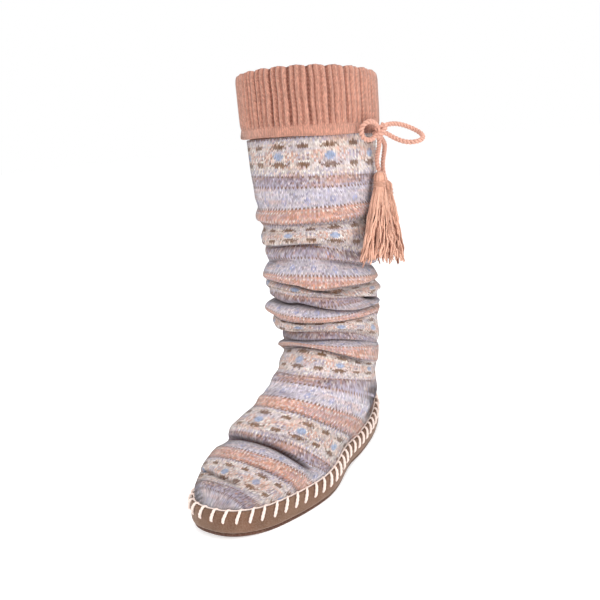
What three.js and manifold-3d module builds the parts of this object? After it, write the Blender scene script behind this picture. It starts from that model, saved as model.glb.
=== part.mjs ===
// A knee-high knitted slipper sock for the left foot: a slouched knit tube on a suede cup sole,
// with a turned-down ribbed cuff and a tasselled tie on its outer side.
// Millimetres, +Z up, the toe towards -Y and the outer side of the foot towards +X.
import * as THREE from "three";
import { mergeVertices } from "three/addons/utils/BufferGeometryUtils.js";
import Module from "manifold-3d";

const wasm = await Module();
wasm.setup();

// Driving dimensions
const SOLE_LENGTH = 248;
const TOE_SPRING = 4; // how far the sole's tip clears the floor
const ARCH_RISE = 1.5; // how far the waist of the sole clears the floor
const OUTSOLE_THICKNESS = 3;
const CUP_FLOOR = 8; // top of the cup's bottom, above the floor
const CUP_WALL = 2.4;
const INSOLE_THICKNESS = 3.5;
const INSOLE_PLAY = 1.6; // how loosely the footbed lies inside the knit
const KNIT_WALL = 2.4;
const SHAFT_CENTRE = 59; // the shaft's axis lies this far behind the middle of the sole
const SHAFT_RADIUS = 55; // outside of the knit, under the cuff
const SHAFT_TOP = 287; // where the cuff is linked to the shaft
const CUFF_TOP = 334;
const CUFF_HEM = 283;
const CUFF_RADIUS = 60;
const CUFF_LAYER = 3; // the turned-down layer, and the slot between it and the inner one
const CUFF_SLOT = 1.6;
const CORD_DIAMETER = 4.4;
const TASSEL_LENGTH = 72; // head and skirt
const SEAM_GAP = 0.3; // clearance where curved pieces meet

// Facets
const SOLE_SIDES = 72;
const KNIT_SIDES = 30;
const CUFF_SIDES = 36;
const CORD_SIDES = 8;
const TASSEL_SIDES = 12;

// Directions round the leg, in degrees from the toe towards the outer side. The folds are given
// at the four quarters that start at the front of the inner side.
const FRONT_IN = -52;

const table = (columns, rows) =>
  rows.map((row) => Object.fromEntries(columns.map((column, i) => [column, row[i]])));

const radians = THREE.MathUtils.degToRad;
const mix = THREE.MathUtils.lerp;
const ease = (from, to, at) => THREE.MathUtils.smoothstep(at, from, to);

// Reads a column of a table between its rows, with level crests and troughs and no overshoot.
function reader(rows, key) {
  const at = rows.map((row) => row[key]);
  const slopes = {};
  const slopesOf = (column) => {
    const value = rows.map((row) => row[column]);
    const secant = value.slice(1).map((v, i) => (v - value[i]) / (at[i + 1] - at[i]));
    return value.map((_, i) => {
      const before = secant[Math.max(i - 1, 0)];
      const after = secant[Math.min(i, secant.length - 1)];
      return before * after <= 0 ? 0 : (2 * before * after) / (before + after);
    });
  };
  return (column, x) => {
    slopes[column] ??= slopesOf(column);
    const held = THREE.MathUtils.clamp(x, at[0], at[at.length - 1]);
    let i = 0;
    while (i < at.length - 2 && held > at[i + 1]) i += 1;
    const step = at[i + 1] - at[i];
    const t = (held - at[i]) / step;
    const [from, to] = [rows[i][column], rows[i + 1][column]];
    const [out, into] = [slopes[column][i] * step, slopes[column][i + 1] * step];
    const curve = 2 * from - 2 * to + out + into;
    return from + t * (out + t * (3 * to - 3 * from - 2 * out - into + t * curve));
  };
}

// Sole outline, from the toe tip (station -1) to the back of the heel (+1). Widths are measured
// to each side of the centre line before the ends are rounded; edge is the height of the cup.
const SOLE = table(
  ["station", "centre", "inner", "outer", "edge"],
  [
    [-1.0, -8, 54, 50, 21],
    [-0.72, -5, 54, 52, 20],
    [-0.35, -1, 50.5, 52, 19],
    [0.15, 0, 39, 42, 18.5],
    [0.62, 1, 40.5, 41.5, 20],
    [1.0, 1, 42, 42, 28],
  ],
);
const END_ROUNDING = 0.4;
const soleAt = reader(SOLE, "station");
const stationOf = (y, inset) => THREE.MathUtils.clamp(y / (SOLE_LENGTH / 2 - inset), -1, 1);

function soleHalf(side, y, inset) {
  const station = stationOf(y, inset);
  const width = soleAt(side > 0 ? "outer" : "inner", station) - inset;
  return width * (1 - station * station) ** END_ROUNDING;
}

const soleCentre = (y) => soleAt("centre", stationOf(y, 0));
const cupEdge = (y) => soleAt("edge", stationOf(y, 0));

// Toe spring and arch: how far the underside stands above the floor.
const SPRING_START = -89;
const ARCH = { from: -20, to: 42 };
function lift(y) {
  const spring = Math.max(0, (SPRING_START - y) / (SOLE_LENGTH / 2 + SPRING_START));
  const arch = THREE.MathUtils.clamp((y - ARCH.from) / (ARCH.to - ARCH.from), 0, 1);
  return TOE_SPRING * spring ** 2 + ARCH_RISE * Math.sin(Math.PI * arch) ** 2;
}

// A closed solid from loops of points: a skin from loop to loop, and a lid on the first and last
// loop that is either a fan or, for loops along the sole, a ladder from side to side.
function solidFromLoops(loops, { ring = false, ladder = false } = {}) {
  const count = loops[0].length;
  const points = loops.flat();
  const faces = [];
  const quad = (a, b, c, d) => faces.push(a, b, c, a, c, d);
  const last = ring ? loops.length : loops.length - 1;
  for (let i = 0; i < last; i += 1) {
    const [here, next] = [i * count, ((i + 1) % loops.length) * count];
    for (let k = 0; k < count; k += 1) {
      const after = (k + 1) % count;
      quad(here + k, here + after, next + after, next + k);
    }
  }
  const lid = (start, flip) => {
    const put = (a, b, c) => faces.push(...(flip ? [a, c, b] : [a, b, c]));
    if (ladder) {
      for (let k = 0; k < count / 2; k += 1) {
        const [right, left] = [k, (count - k) % count];
        const [rightNext, leftNext] = [k + 1, count - k - 1];
        if (right !== left) put(start + left, start + rightNext, start + right);
        if (rightNext !== leftNext) put(start + left, start + leftNext, start + rightNext);
      }
      return;
    }
    const middle = new THREE.Vector3();
    for (let k = 0; k < count; k += 1) middle.addScaledVector(points[start + k], 1 / count);
    points.push(middle);
    for (let k = 0; k < count; k += 1) put(points.length - 1, start + ((k + 1) % count), start + k);
  };
  if (!ring) {
    lid(0, false);
    lid((loops.length - 1) * count, true);
  }
  const geometry = new THREE.BufferGeometry().setFromPoints(points);
  geometry.setIndex(faces);
  return facingOut(geometry);
}

// Turns every face round when the solid is inside out.
function facingOut(geometry) {
  const [index, place] = [geometry.index.array, geometry.attributes.position];
  const [a, b, c] = [new THREE.Vector3(), new THREE.Vector3(), new THREE.Vector3()];
  let volume = 0;
  for (let i = 0; i < index.length; i += 3) {
    a.fromBufferAttribute(place, index[i]);
    b.fromBufferAttribute(place, index[i + 1]);
    c.fromBufferAttribute(place, index[i + 2]);
    volume += a.dot(b.cross(c));
  }
  if (volume < 0) geometry.setIndex(Array.from(index).reverse());
  return geometry;
}

function solidOf(geometry) {
  const bare = geometry.clone();
  bare.deleteAttribute("normal");
  bare.deleteAttribute("uv");
  const merged = mergeVertices(bare, 1e-4);
  return new wasm.Manifold(
    new wasm.Mesh({
      numProp: 3,
      vertProperties: merged.attributes.position.array,
      triVerts: new Uint32Array(merged.index.array),
    }),
  );
}

function geometryOf(solid) {
  const mesh = solid.getMesh();
  const geometry = new THREE.BufferGeometry();
  geometry.setAttribute("position", new THREE.BufferAttribute(mesh.vertProperties, mesh.numProp));
  geometry.setIndex(new THREE.BufferAttribute(mesh.triVerts, 1));
  return geometry;
}

// One loop along the sole's outline, set in from its edge, at a height of its own or the cup's.
function soleLoop(inset, height) {
  const loop = [];
  for (let k = 0; k < SOLE_SIDES; k += 1) {
    const turn = (2 * Math.PI * k) / SOLE_SIDES;
    const y = (SOLE_LENGTH / 2 - inset) * Math.cos(turn);
    const onAxis = k % (SOLE_SIDES / 2) === 0;
    const side = Math.sin(turn) > 0 ? 1 : -1;
    const x = soleCentre(y) + (onAxis ? 0 : side * soleHalf(side, y, inset));
    loop.push(new THREE.Vector3(x, y, lift(y) + (height ?? cupEdge(y))));
  }
  return loop;
}

function outsole() {
  const edge = table(
    ["inset", "height"],
    [
      [2.4, 0],
      [1.6, 0.8],
      [1.6, OUTSOLE_THICKNESS],
    ],
  );
  return solidFromLoops(edge.map((row) => soleLoop(row.inset, row.height)), { ladder: true });
}

// The cup's section, from under the shoe round its wall to the footbed inside.
const CUP_TOP_INSET = 1.2;
function suedeCup() {
  const inside = CUP_TOP_INSET + CUP_WALL;
  const section = table(
    ["inset", "height"],
    [
      [1.2, OUTSOLE_THICKNESS + SEAM_GAP],
      [0, 6.5],
      [0, 13],
      [CUP_TOP_INSET, null],
      [inside, null],
      [inside + 0.2, CUP_FLOOR],
    ],
  );
  return solidFromLoops(section.map((row) => soleLoop(row.inset, row.height)), { ladder: true });
}

const KNIT_INSET = CUP_TOP_INSET + CUP_WALL + SEAM_GAP + 0.7; // the knit stands inside the cup
function insole() {
  const inset = KNIT_INSET + KNIT_WALL + SEAM_GAP + INSOLE_PLAY;
  const bottom = CUP_FLOOR + SEAM_GAP;
  const top = bottom + INSOLE_THICKNESS;
  return solidFromLoops(
    [soleLoop(inset, bottom), soleLoop(inset, top - 0.8), soleLoop(inset + 0.8, top)],
    { ladder: true },
  );
}

// Sections of the knit tube, each a loop in the plane through a front and a back point. knit is
// the length of fabric from the cuff, widest where between back and front the loop is widest,
// base and crown how square its back and front halves are, ridge how far its top leans to the
// inner side, and onSole how much of its width comes from the sole.
const SECTIONS = table(
  ["knit", "frontY", "frontZ", "backY", "backZ", "half", "widest", "base", "crown", "ridge", "onSole"],
  [
    [-3, 4, SHAFT_TOP, 114, SHAFT_TOP, SHAFT_RADIUS, 0.5, 2, 2, 0, 0],
    [30, 4.5, 254, 113.5, 254, 54.5, 0.5, 2, 2, 0, 0],
    [72, 8, 215, 110.5, 215, 51.5, 0.5, 2, 2, 0, 0],
    [130, 12, 171, 107, 167, 47.5, 0.5, 2, 2, 0, 0],
    [144, 12.5, 162, 106.5, 157, 47, 0.5, 2, 2, 0, 0],
    [216, 14, 128, 106, 112, 45.5, 0.5, 2, 2, 0, 0],
    [288, 16, 102, 105, 73, 42, 0.5, 2, 2, 0, 0],
    [306, 10, 93, 107, 59, 41, 0.5, 2, 2, -1, 0],
    [322, -2, 86, 111, 44, 41, 0.5, 2.1, 2.1, -2, 0],
    [335, -14, 80, 119, 4, 42, 0.46, 2.6, 2.3, -3, 0.2],
    [347, -25, 75, 88, 0, 44, 0.4, 4, 2.4, -4, 0.4],
    [360, -35, 70, 46, 2, 46, 0.36, 4, 2.4, -5, 0.5],
    [394, -62, 59, -10, 2, 48, 0.32, 4, 2.3, -6, 1],
    [419, -79, 52, -40, 2, 48, 0.3, 4, 2.3, -5, 1],
    [432, -88, 48, -56, 2, 48, 0.32, 4, 2.3, -4, 1],
    [466, -109, 38, -93, 2, 40, 0.4, 4, 2.4, -2, 1],
    [478, -116, 31, -109, 2, 28, 0.5, 4, 2.4, 0, 1],
    [486, -119.3, 24, -119.3, 2, 8, 0.5, 4, 2.4, 0, 1],
  ],
);

// How far each course sits above its level at the four quarters, where the stripes run askew.
const DRIFT = table(
  ["knit", "frontIn", "frontOut", "backOut", "backIn"],
  [
    [0, 0, 0, 0, 0],
    [34, 3.7, 0.8, -2.9, 1],
    [59, -1, 0, -2.2, 1],
    [72, -1.3, 0.4, 0.8, 0],
    [106, 4.2, 2.6, -6.3, 2],
    [116, 1.3, 0, -3.6, 1],
    [131, 0, 0, -6, 0],
    [144, 4, 0, -2.4, 3],
    [178, 6.3, 8, -0.3, 2],
    [188, 3.9, 5.6, 1, 3],
    [203, 6, 1.5, 8.4, 2],
    [216, 4.9, 0, 6.5, 1],
    [250, 3.4, 1.3, -3.5, 2],
    [260, 0, -0.9, 0, 2],
    [275, 2.3, 0, 6.3, -2],
    [288, 3.6, 0.9, -2.9, 1],
    [306, 0, 0, 0, 0],
  ],
);

// Crests and troughs of the slouch folds, measured out from the section at the four quarters.
const FOLDS = table(
  ["knit", "frontIn", "frontOut", "backOut", "backIn"],
  [
    [0, 0, 0, 0, 0],
    [48, 0, 0, 0, 0],
    [58, -3, -2.2, -2.2, -2],
    [66, 2.2, 2, 1.5, 2],
    [77, -3.2, -2.5, -2.5, -3],
    [90, 0.8, 1.2, 0, 1],
    [105, -2.5, -3.2, -1.5, -3],
    [111, -0.6, 1.2, -0.8, 0.5],
    [119, -3, -2.5, -3.5, -2],
    [137, 6.6, 4, 1.5, 4.5],
    [149, -1, -5, -2, -4],
    [164, 2, 0.5, 2, 1],
    [187, -3.5, -3, -3, -4],
    [203, 6.6, 5, 1.5, 3.5],
    [216, -0.5, -1.5, -0.5, -2],
    [235, -0.5, 1.2, 3, 2],
    [251, -5, -4, -0.5, -3.5],
    [256, -4, -2.2, 0, -2],
    [262, -4.5, -3.6, -1.5, -3],
    [279, 1.2, 1.5, 4.5, 2.5],
    [291, -2.4, -1.5, 0.5, -1],
    [306, 0.5, 0, 0, 0],
    [321, -2, -1.2, 0, 0],
    [328, 0.8, 0.5, 0, 0],
    [335, -1.5, -1, 0, 0],
    [346, 1.5, 1, 0, 0],
    [357, -1, -0.5, 0, 0],
    [383, 4, 3, 0, 0],
    [402, -3.6, -4.5, -0.5, 0],
    [424, 1.5, 2.2, 0.5, 0],
    [443, 0, 0, 0, 0],
    [462, -1.4, -1.2, 0, 0],
    [471, 0.6, 0.4, 0, 0],
    [486, 0, 0, 0, 0],
  ],
);

const sectionAt = reader(SECTIONS, "knit");
const driftAt = reader(DRIFT, "knit");
const foldAt = reader(FOLDS, "knit");
const QUARTERS = ["frontIn", "frontOut", "backOut", "backIn"];

// A value round the leg from its four quarters: its mean, a lean, and a squeeze.
function round(read, knit, turn) {
  const [a, b, c, d] = QUARTERS.map((quarter) => read(quarter, knit));
  const from = turn - radians(FRONT_IN);
  return (
    (a + b + c + d) / 4 +
    ((a - c) / 2) * Math.cos(from) +
    ((b - d) / 2) * Math.sin(from) +
    ((a - b + c - d) / 4) * Math.cos(2 * from)
  );
}

// Where a ray from the middle of the foot meets the sole's outline.
const HEEL_MIDDLE = 84;
const TOE_MIDDLE = -78;
function reachToOutline(middle, way, inset) {
  let [near, far] = [0, SOLE_LENGTH / 2];
  for (let i = 0; i < 24; i += 1) {
    const reach = (near + far) / 2;
    const [x, y] = [middle.x + way.x * reach, middle.y + way.y * reach];
    const out = x - soleCentre(y);
    const within = Math.abs(y) < SOLE_LENGTH / 2 - inset;
    if (within && Math.abs(out) < soleHalf(Math.sign(out) || 1, y, inset)) near = reach;
    else far = reach;
  }
  return near;
}

// Draws the knit's lower edge out to the inside of the cup, easing off above it, and keeps
// what lies below the cup's floor within the outline.
const SEAT = { from: 4, full: 7.5, toeBlend: 8, heelBlend: 26 };
function seat(point, inset) {
  const edge = cupEdge(point.y) + 1;
  const blend = mix(SEAT.toeBlend, SEAT.heelBlend, ease(20, 80, point.y));
  const hold = 1 - ease(edge, edge + blend, point.z);
  const y = THREE.MathUtils.clamp(point.y, TOE_MIDDLE, HEEL_MIDDLE);
  const middle = new THREE.Vector2(soleCentre(y), y);
  const way = new THREE.Vector2(point.x, point.y).sub(middle);
  const own = way.length();
  if (hold === 0 || own < 1e-6) return point;
  way.normalize();
  const outline = reachToOutline(middle, way, KNIT_INSET + inset);
  const seated = mix(Math.min(own, outline), outline, ease(SEAT.from, SEAT.full, point.z));
  const reach = mix(own, seated, hold);
  point.x = middle.x + way.x * reach;
  point.y = middle.y + way.y * reach;
  return point;
}

// A point of the knit, turned from the toe towards the outer side, a length of fabric from the
// cuff, and set in from the outer face.
function knitPoint(turn, knit, inset = 0) {
  const at = (column) => sectionAt(column, knit);
  const toe = inset * (1 - ease(-119, -60, at("backY")));
  const front = new THREE.Vector3(0, at("frontY") + toe, at("frontZ"));
  const back = new THREE.Vector3(0, at("backY") + toe, at("backZ"));
  const across = front.clone().sub(back).normalize();
  front.addScaledVector(across, -inset);
  back.addScaledVector(across, inset);
  const [widest, onSole] = [at("widest"), at("onSole")];
  const middle = back.clone().lerp(front, widest);
  const own = middle.y;
  const soleWidth = (soleHalf(1, own, KNIT_INSET) + soleHalf(-1, own, KNIT_INSET)) / 2;
  const half = mix(at("half"), soleWidth, onSole) - inset;
  const [cos, sin] = [Math.cos(turn), Math.sin(turn)];
  const power = 2 / (cos > 0 ? at("crown") : at("base"));
  const share = Math.sign(cos) * Math.abs(cos) ** power;
  const rise = share > 0 ? share * (1 - widest) : share * widest;
  const out = new THREE.Vector3(Math.sign(sin) * Math.abs(sin) ** power * half, 0, 0);
  out.addScaledVector(across, rise * front.distanceTo(back));
  const point = middle.clone().add(out);
  point.x += mix(0, soleCentre(own), onSole) + at("ridge") * Math.max(share, 0) ** 2;
  const free = ease(cupEdge(point.y) + 2, cupEdge(point.y) + 16, point.z);
  point.addScaledVector(out.normalize(), round(foldAt, knit, turn) * free);
  point.z += round(driftAt, knit, turn);
  seat(point, inset);
  point.z += lift(point.y) * (1 - ease(20, 60, point.z));
  return point;
}

// The fabric lengths at which the tube has a loop of facets.
function knitSteps() {
  const folds = FOLDS.filter((row) => row.knit > 0).map((row) => row.knit);
  const between = folds.slice(1).map((knit, i) => (knit + folds[i]) / 2);
  const wide = between.filter((knit, i) => folds[i + 1] - folds[i] > 9);
  const heel = [325, 331.5, 338, 341, 343.5, 349, 352];
  const toe = [474, 478, 481, 483.5];
  const steps = [-3, 20, ...folds, ...wide, ...heel, ...toe].sort((a, b) => a - b);
  return steps.filter((knit, i) => i === 0 || knit - steps[i - 1] > 1.2);
}

function knitTube(inset) {
  return knitSteps().map((knit) => {
    const loop = [];
    for (let k = 0; k < KNIT_SIDES; k += 1) {
      loop.push(knitPoint((2 * Math.PI * k) / KNIT_SIDES, knit, inset));
    }
    return loop;
  });
}

// Foot and shaft knitted whole: a tube less its inside, and less what lies below the cup's floor.
function knitUpper() {
  const outer = knitTube(0);
  const inner = knitTube(KNIT_WALL);
  const mouth = inner[0].map((point) => point.clone().setZ(SHAFT_TOP + 5));
  const hollow = solidFromLoops([mouth, ...inner]);
  const below = solidFromLoops(
    [soleLoop(-12, -20), soleLoop(-12, CUP_FLOOR + SEAM_GAP)],
    { ladder: true },
  );
  const wall = solidOf(solidFromLoops(outer)).subtract(solidOf(hollow));
  return geometryOf(wall.subtract(solidOf(below)));
}

// A point beside the shaft, turned from the toe towards the outer side.
const beside = (turn, radius, height) =>
  new THREE.Vector3(
    radius * Math.sin(radians(turn)),
    SHAFT_CENTRE - radius * Math.cos(radians(turn)),
    height,
  );

// How far the cuff's fold and hem sit above their level at the four quarters.
const CUFF_LEAN = table(
  ["level", "frontIn", "frontOut", "backOut", "backIn"],
  [
    [0, 2.2, 0.4, -2.2, 0],
    [1, 2, 1.6, -5, -2.5],
  ],
);
const cuffLeanAt = reader(CUFF_LEAN, "level");

// Ribbed cuff: an inner layer linked to the shaft's top edge, folded over and turned down.
// Heights in its section are measured from the fold (level 1), the hem (0) or the floor.
function ribCuff() {
  const [outer, slot] = [CUFF_RADIUS - CUFF_LAYER, CUFF_RADIUS - CUFF_LAYER - CUFF_SLOT];
  const inner = SHAFT_RADIUS - KNIT_WALL;
  const section = table(
    ["radius", "level", "offset"],
    [
      [CUFF_RADIUS - 0.6, 0, 0],
      [CUFF_RADIUS, 0, 3],
      [CUFF_RADIUS - 0.8, 0, 8.5],
      [CUFF_RADIUS - 0.4, 1, -7],
      [CUFF_RADIUS - 1.2, 1, -2],
      [CUFF_RADIUS - 3.6, 1, 0],
      [inner + 1, 1, -1.8],
      [inner, 1, -7],
      [inner, null, SHAFT_TOP + SEAM_GAP],
      [slot, null, SHAFT_TOP + SEAM_GAP],
      [slot, 1, -7],
      [outer, 1, -5],
      [outer, 0, 0.4],
    ],
  );
  const loops = section.map(({ radius, level, offset }) => {
    const loop = [];
    for (let k = 0; k < CUFF_SIDES; k += 1) {
      const turn = (2 * Math.PI * k) / CUFF_SIDES;
      const base = level === null ? 0 : mix(CUFF_HEM, CUFF_TOP, level) + round(cuffLeanAt, level, turn);
      loop.push(beside(THREE.MathUtils.radToDeg(turn), radius, base + offset));
    }
    return loop;
  });
  return solidFromLoops(loops, { ring: true });
}

// The tie's knot rests against the cuff's hem; grown widens it for cutting what meets it.
const KNOT = { turn: 87, height: 283, deep: 5.2, across: 8, tall: 6.4 };
function tieKnot(grown = 0) {
  const ball = new THREE.SphereGeometry(1, 12, 8);
  ball.scale(KNOT.across + grown, KNOT.deep + grown, KNOT.tall + grown);
  ball.rotateZ(radians(KNOT.turn));
  const place = beside(KNOT.turn, CUFF_RADIUS + KNOT.deep, KNOT.height);
  return ball.translate(place.x, place.y, place.z);
}

// Tassel sections, from the top of the bound head to the cut ends of the yarn.
const TASSEL = table(
  ["down", "across", "deep"],
  [
    [0, 2.6, 2.4],
    [0.02, 4.6, 4.4],
    [0.07, 5.6, 5.2],
    [0.12, 5.2, 4.8],
    [0.14, 4.4, 4.2],
    [0.17, 5.2, 4.8],
    [0.34, 8, 6.2],
    [0.62, 12.6, 7.6],
    [0.94, 17, 9],
    [1, 15.5, 8],
  ],
);
const TASSEL_HANG = {
  front: { top: beside(94.3, 60.8, 250), foot: beside(82, 64, 250 - TASSEL_LENGTH) },
  back: { top: beside(110.5, 62, 241), foot: beside(118, 65.5, 241 - TASSEL_LENGTH) },
};

function tassel({ top, foot }, grown = 0) {
  const loops = TASSEL.map(({ down, across, deep }) => {
    const middle = top.clone().lerp(foot, down);
    middle.z += down === 0 ? grown : 0;
    const outward = middle.clone().sub(new THREE.Vector3(0, SHAFT_CENTRE, middle.z)).normalize();
    const along = new THREE.Vector3(-outward.y, outward.x, 0);
    const loop = [];
    for (let k = 0; k < TASSEL_SIDES; k += 1) {
      const turn = (2 * Math.PI * k) / TASSEL_SIDES;
      const point = middle.clone().addScaledVector(outward, (deep + grown) * Math.cos(turn));
      loop.push(point.addScaledVector(along, (across + grown) * Math.sin(turn)));
    }
    return loop;
  });
  return solidFromLoops(loops);
}

// Routes of the twisted cord beside the shaft, from inside the knot.
const route = (rows) => rows.map(([turn, radius, height]) => beside(turn, radius, height));
const LOOP_LONG = route([
  [88, 65.5, 284],
  [91.5, 66.6, 285.6],
  [95, 68, 286.6],
  [99, 71.5, 287.2],
  [102.5, 76, 286.6],
  [105.4, 81.5, 284.6],
  [106.9, 87.5, 281.6],
  [106, 92.8, 278.2],
  [102.6, 95.6, 275],
  [98.6, 94.8, 272.6],
  [95.7, 90.4, 271.6],
  [94.4, 84.6, 272.2],
  [94, 78.8, 274.2],
  [93.6, 73.6, 277],
  [92, 69.4, 280],
  [88, 66.2, 282],
]);
const LOOP_SHORT = route([
  [86, 66, 284.6],
  [83, 66.6, 286.4],
  [80.2, 67.2, 288.4],
  [76.8, 67.4, 290],
  [73.2, 66.8, 290.2],
  [70.2, 65.6, 288.6],
  [68.6, 64.6, 285.6],
  [68.4, 64.2, 282],
  [69.6, 64.2, 278.8],
  [72.4, 64.6, 276.8],
  [76, 65.2, 276.4],
  [79.4, 65.8, 277.6],
  [82.4, 66, 279.8],
  [86, 66, 282],
]);
const END_FRONT = route([
  [86, 65, 281],
  [86.4, 65.2, 278],
  [87.4, 65, 274.8],
  [89.2, 63.8, 271.4],
  [91.6, 61.8, 267.8],
  [93.8, 59.8, 263.8],
  [94.6, 58.8, 259.4],
  [94.7, 59, 255],
  [94.4, 60.2, 250.8],
  [94.3, 60.8, 248],
]);
const END_BACK = route([
  [89, 64.6, 279.6],
  [92.4, 64.8, 276.2],
  [96.2, 65, 273.2],
  [100, 64.4, 270.4],
  [103.4, 63.2, 267],
  [106.2, 62, 263],
  [108.2, 60.8, 258],
  [109.6, 60.2, 252.6],
  [110.3, 60.6, 247],
  [110.5, 61.6, 242.2],
  [110.5, 62, 239],
]);

// A cord along a route, cut back to leave a seam's gap to the pieces it runs into.
function cord(points, steps, ...neighbours) {
  const section = new THREE.Shape();
  for (let k = 0; k < CORD_SIDES; k += 1) {
    const turn = (2 * Math.PI * k) / CORD_SIDES;
    const [x, y] = [Math.cos(turn), Math.sin(turn)].map((v) => (v * CORD_DIAMETER) / 2);
    if (k === 0) section.moveTo(x, y);
    else section.lineTo(x, y);
  }
  const extrudePath = new THREE.CatmullRomCurve3(points);
  const tube = new THREE.ExtrudeGeometry(section, { steps, extrudePath, bevelEnabled: false });
  let solid = solidOf(tube);
  for (const neighbour of neighbours) solid = solid.subtract(solidOf(neighbour));
  return geometryOf(solid);
}

const material = (color, roughness) => new THREE.MeshStandardMaterial({ color, roughness, metalness: 0 });
const knitYarn = material(0xcbb9bb, 0.95);
const suede = material(0x7d6250, 0.9);
const suedeUnder = material(0x6f4a3c, 0.92);
const footbed = material(0xd8cdbf, 0.95);
const cuffYarn = material(0xcd8c78, 0.95);
const cordYarn = material(0xd79a87, 0.9);
const tasselYarn = material(0xdb9e86, 0.95);

const part = new THREE.Group();
function add(name, geometry, finish) {
  const mesh = new THREE.Mesh(geometry, finish.clone());
  mesh.name = name;
  part.add(mesh);
}

add("outsole", outsole(), suedeUnder);
add("suede_cup", suedeCup(), suede);
add("insole", insole(), footbed);
add("knit_upper", knitUpper(), knitYarn);
add("rib_cuff", ribCuff(), cuffYarn);
add("tie_knot", tieKnot(), cordYarn);
add("tassel_front", tassel(TASSEL_HANG.front), tasselYarn);
add("tassel_back", tassel(TASSEL_HANG.back), tasselYarn);

const knotRoom = tieKnot(SEAM_GAP);
add("tie_loop_long", cord(LOOP_LONG, 16, knotRoom), cordYarn);
add("tie_loop_short", cord(LOOP_SHORT, 12, knotRoom), cordYarn);
add("tie_end_front", cord(END_FRONT, 7, knotRoom, tassel(TASSEL_HANG.front, SEAM_GAP)), cordYarn);
add("tie_end_back", cord(END_BACK, 9, knotRoom, tassel(TASSEL_HANG.back, SEAM_GAP)), cordYarn);

export default part;
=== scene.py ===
"""A knee-high knitted slipper sock, made piece by piece from a panel in the 3D view's sidebar."""

import math

import bpy
import numpy as np
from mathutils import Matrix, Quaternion, Vector


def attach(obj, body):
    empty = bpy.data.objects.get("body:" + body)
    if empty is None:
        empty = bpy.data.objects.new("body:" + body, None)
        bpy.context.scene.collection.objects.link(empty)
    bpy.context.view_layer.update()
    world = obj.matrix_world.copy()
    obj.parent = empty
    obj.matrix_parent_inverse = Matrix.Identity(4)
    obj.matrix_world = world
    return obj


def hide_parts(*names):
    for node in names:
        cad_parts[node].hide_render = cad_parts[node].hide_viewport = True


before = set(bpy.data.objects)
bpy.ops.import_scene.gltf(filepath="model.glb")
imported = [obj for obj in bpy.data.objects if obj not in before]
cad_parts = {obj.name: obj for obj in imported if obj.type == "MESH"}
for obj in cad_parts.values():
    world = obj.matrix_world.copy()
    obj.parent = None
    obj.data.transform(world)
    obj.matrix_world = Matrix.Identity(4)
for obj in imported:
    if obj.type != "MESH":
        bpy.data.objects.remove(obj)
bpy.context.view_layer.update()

bl_info = {
    "name": "Slipper Sock",
    "version": (1, 0, 0),
    "blender": (4, 5, 0),
    "location": "View3D > Sidebar > Slipper Sock",
    "description": "Builds a slouched knitted slipper sock with a suede sole and a tasselled tie",
    "category": "Add Mesh",
}

MM = 0.001
BODY = "root"

# The shoe's own sizes, in millimetres, as in its construction.
SOLE_LENGTH = 248.0
TOE_SPRING = 4.0
ARCH_RISE = 1.5
CUP_FLOOR = 8.0
CUP_TOP_INSET = 1.2
KNIT_INSET = 4.6
KNIT_WALL = 2.4
SHAFT_CENTRE = 59.0
SHAFT_RADIUS = 55.0
SHAFT_TOP = 287.0
CUFF_HEM = 283.0
CUFF_TOP = 334.0
CUFF_RADIUS = 60.0
CORD_DIAMETER = 4.4
TASSEL_LENGTH = 72.0
WALES = 192
COURSE = 72 / 44
COURSES = 297


def linear(colour):
    """A colour written as #rrggbb, in the light values that a shader works with."""
    parts = [int(colour[i : i + 2], 16) / 255 for i in (1, 3, 5)]
    return tuple(c / 12.92 if c <= 0.04045 else ((c + 0.055) / 1.055) ** 2.4 for c in parts)


def ease(start, end, at):
    """0 before start and 1 after end, with a smooth step between."""
    t = np.clip((at - start) / (end - start), 0, 1)
    return t * t * (3 - 2 * t)


def mix(start, end, share):
    """A value that is a share of the way from start to end."""
    return start + (end - start) * share


def bell(distance, width):
    """A soft bump that is 1 at no distance and nearly 0 at twice its width."""
    return np.exp(-((distance / width) ** 2))


class Table:
    """Rows of named columns, read between the rows with level crests and troughs."""

    def __init__(self, columns, rows):
        self.rows = [dict(zip(columns, row)) for row in rows]
        self.columns = dict(zip(columns, np.array(rows, float).T.copy()))
        self.key = self.columns[columns[0]]

    def __call__(self, column, x):
        """The value of a column where the first column is x."""
        at, value = self.key, self.columns[column]
        secant = np.diff(value) / np.diff(at)
        before = np.concatenate([secant[:1], secant])
        after = np.concatenate([secant, secant[-1:]])
        turning = before * after <= 0
        slope = np.where(turning, 0, 2 * before * after / np.where(turning, 1, before + after))
        held = np.clip(x, at[0], at[-1])
        i = np.clip(np.searchsorted(at, held) - 1, 0, len(at) - 2)
        step = at[i + 1] - at[i]
        t = (held - at[i]) / step
        start, end = value[i], value[i + 1]
        out, into = slope[i] * step, slope[i + 1] * step
        curve = 2 * start - 2 * end + out + into
        return start + t * (out + t * (3 * end - 3 * start - 2 * out - into + t * curve))


# The sole

SOLE = Table(
    ["station", "centre", "inner", "outer", "edge"],
    [
        [-1.0, -8, 54, 50, 21],
        [-0.72, -5, 54, 52, 20],
        [-0.35, -1, 50.5, 52, 19],
        [0.15, 0, 39, 42, 18.5],
        [0.62, 1, 40.5, 41.5, 20],
        [1.0, 1, 42, 42, 28],
    ],
)
END_ROUNDING = 0.4
SPRING_START = -89.0
ARCH_FROM = -20.0
ARCH_TO = 42.0


def station_of(y, inset):
    """The place along the sole, from -1 at the toe to 1 at the heel."""
    return np.clip(y / (SOLE_LENGTH / 2 - inset), -1, 1)


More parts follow.
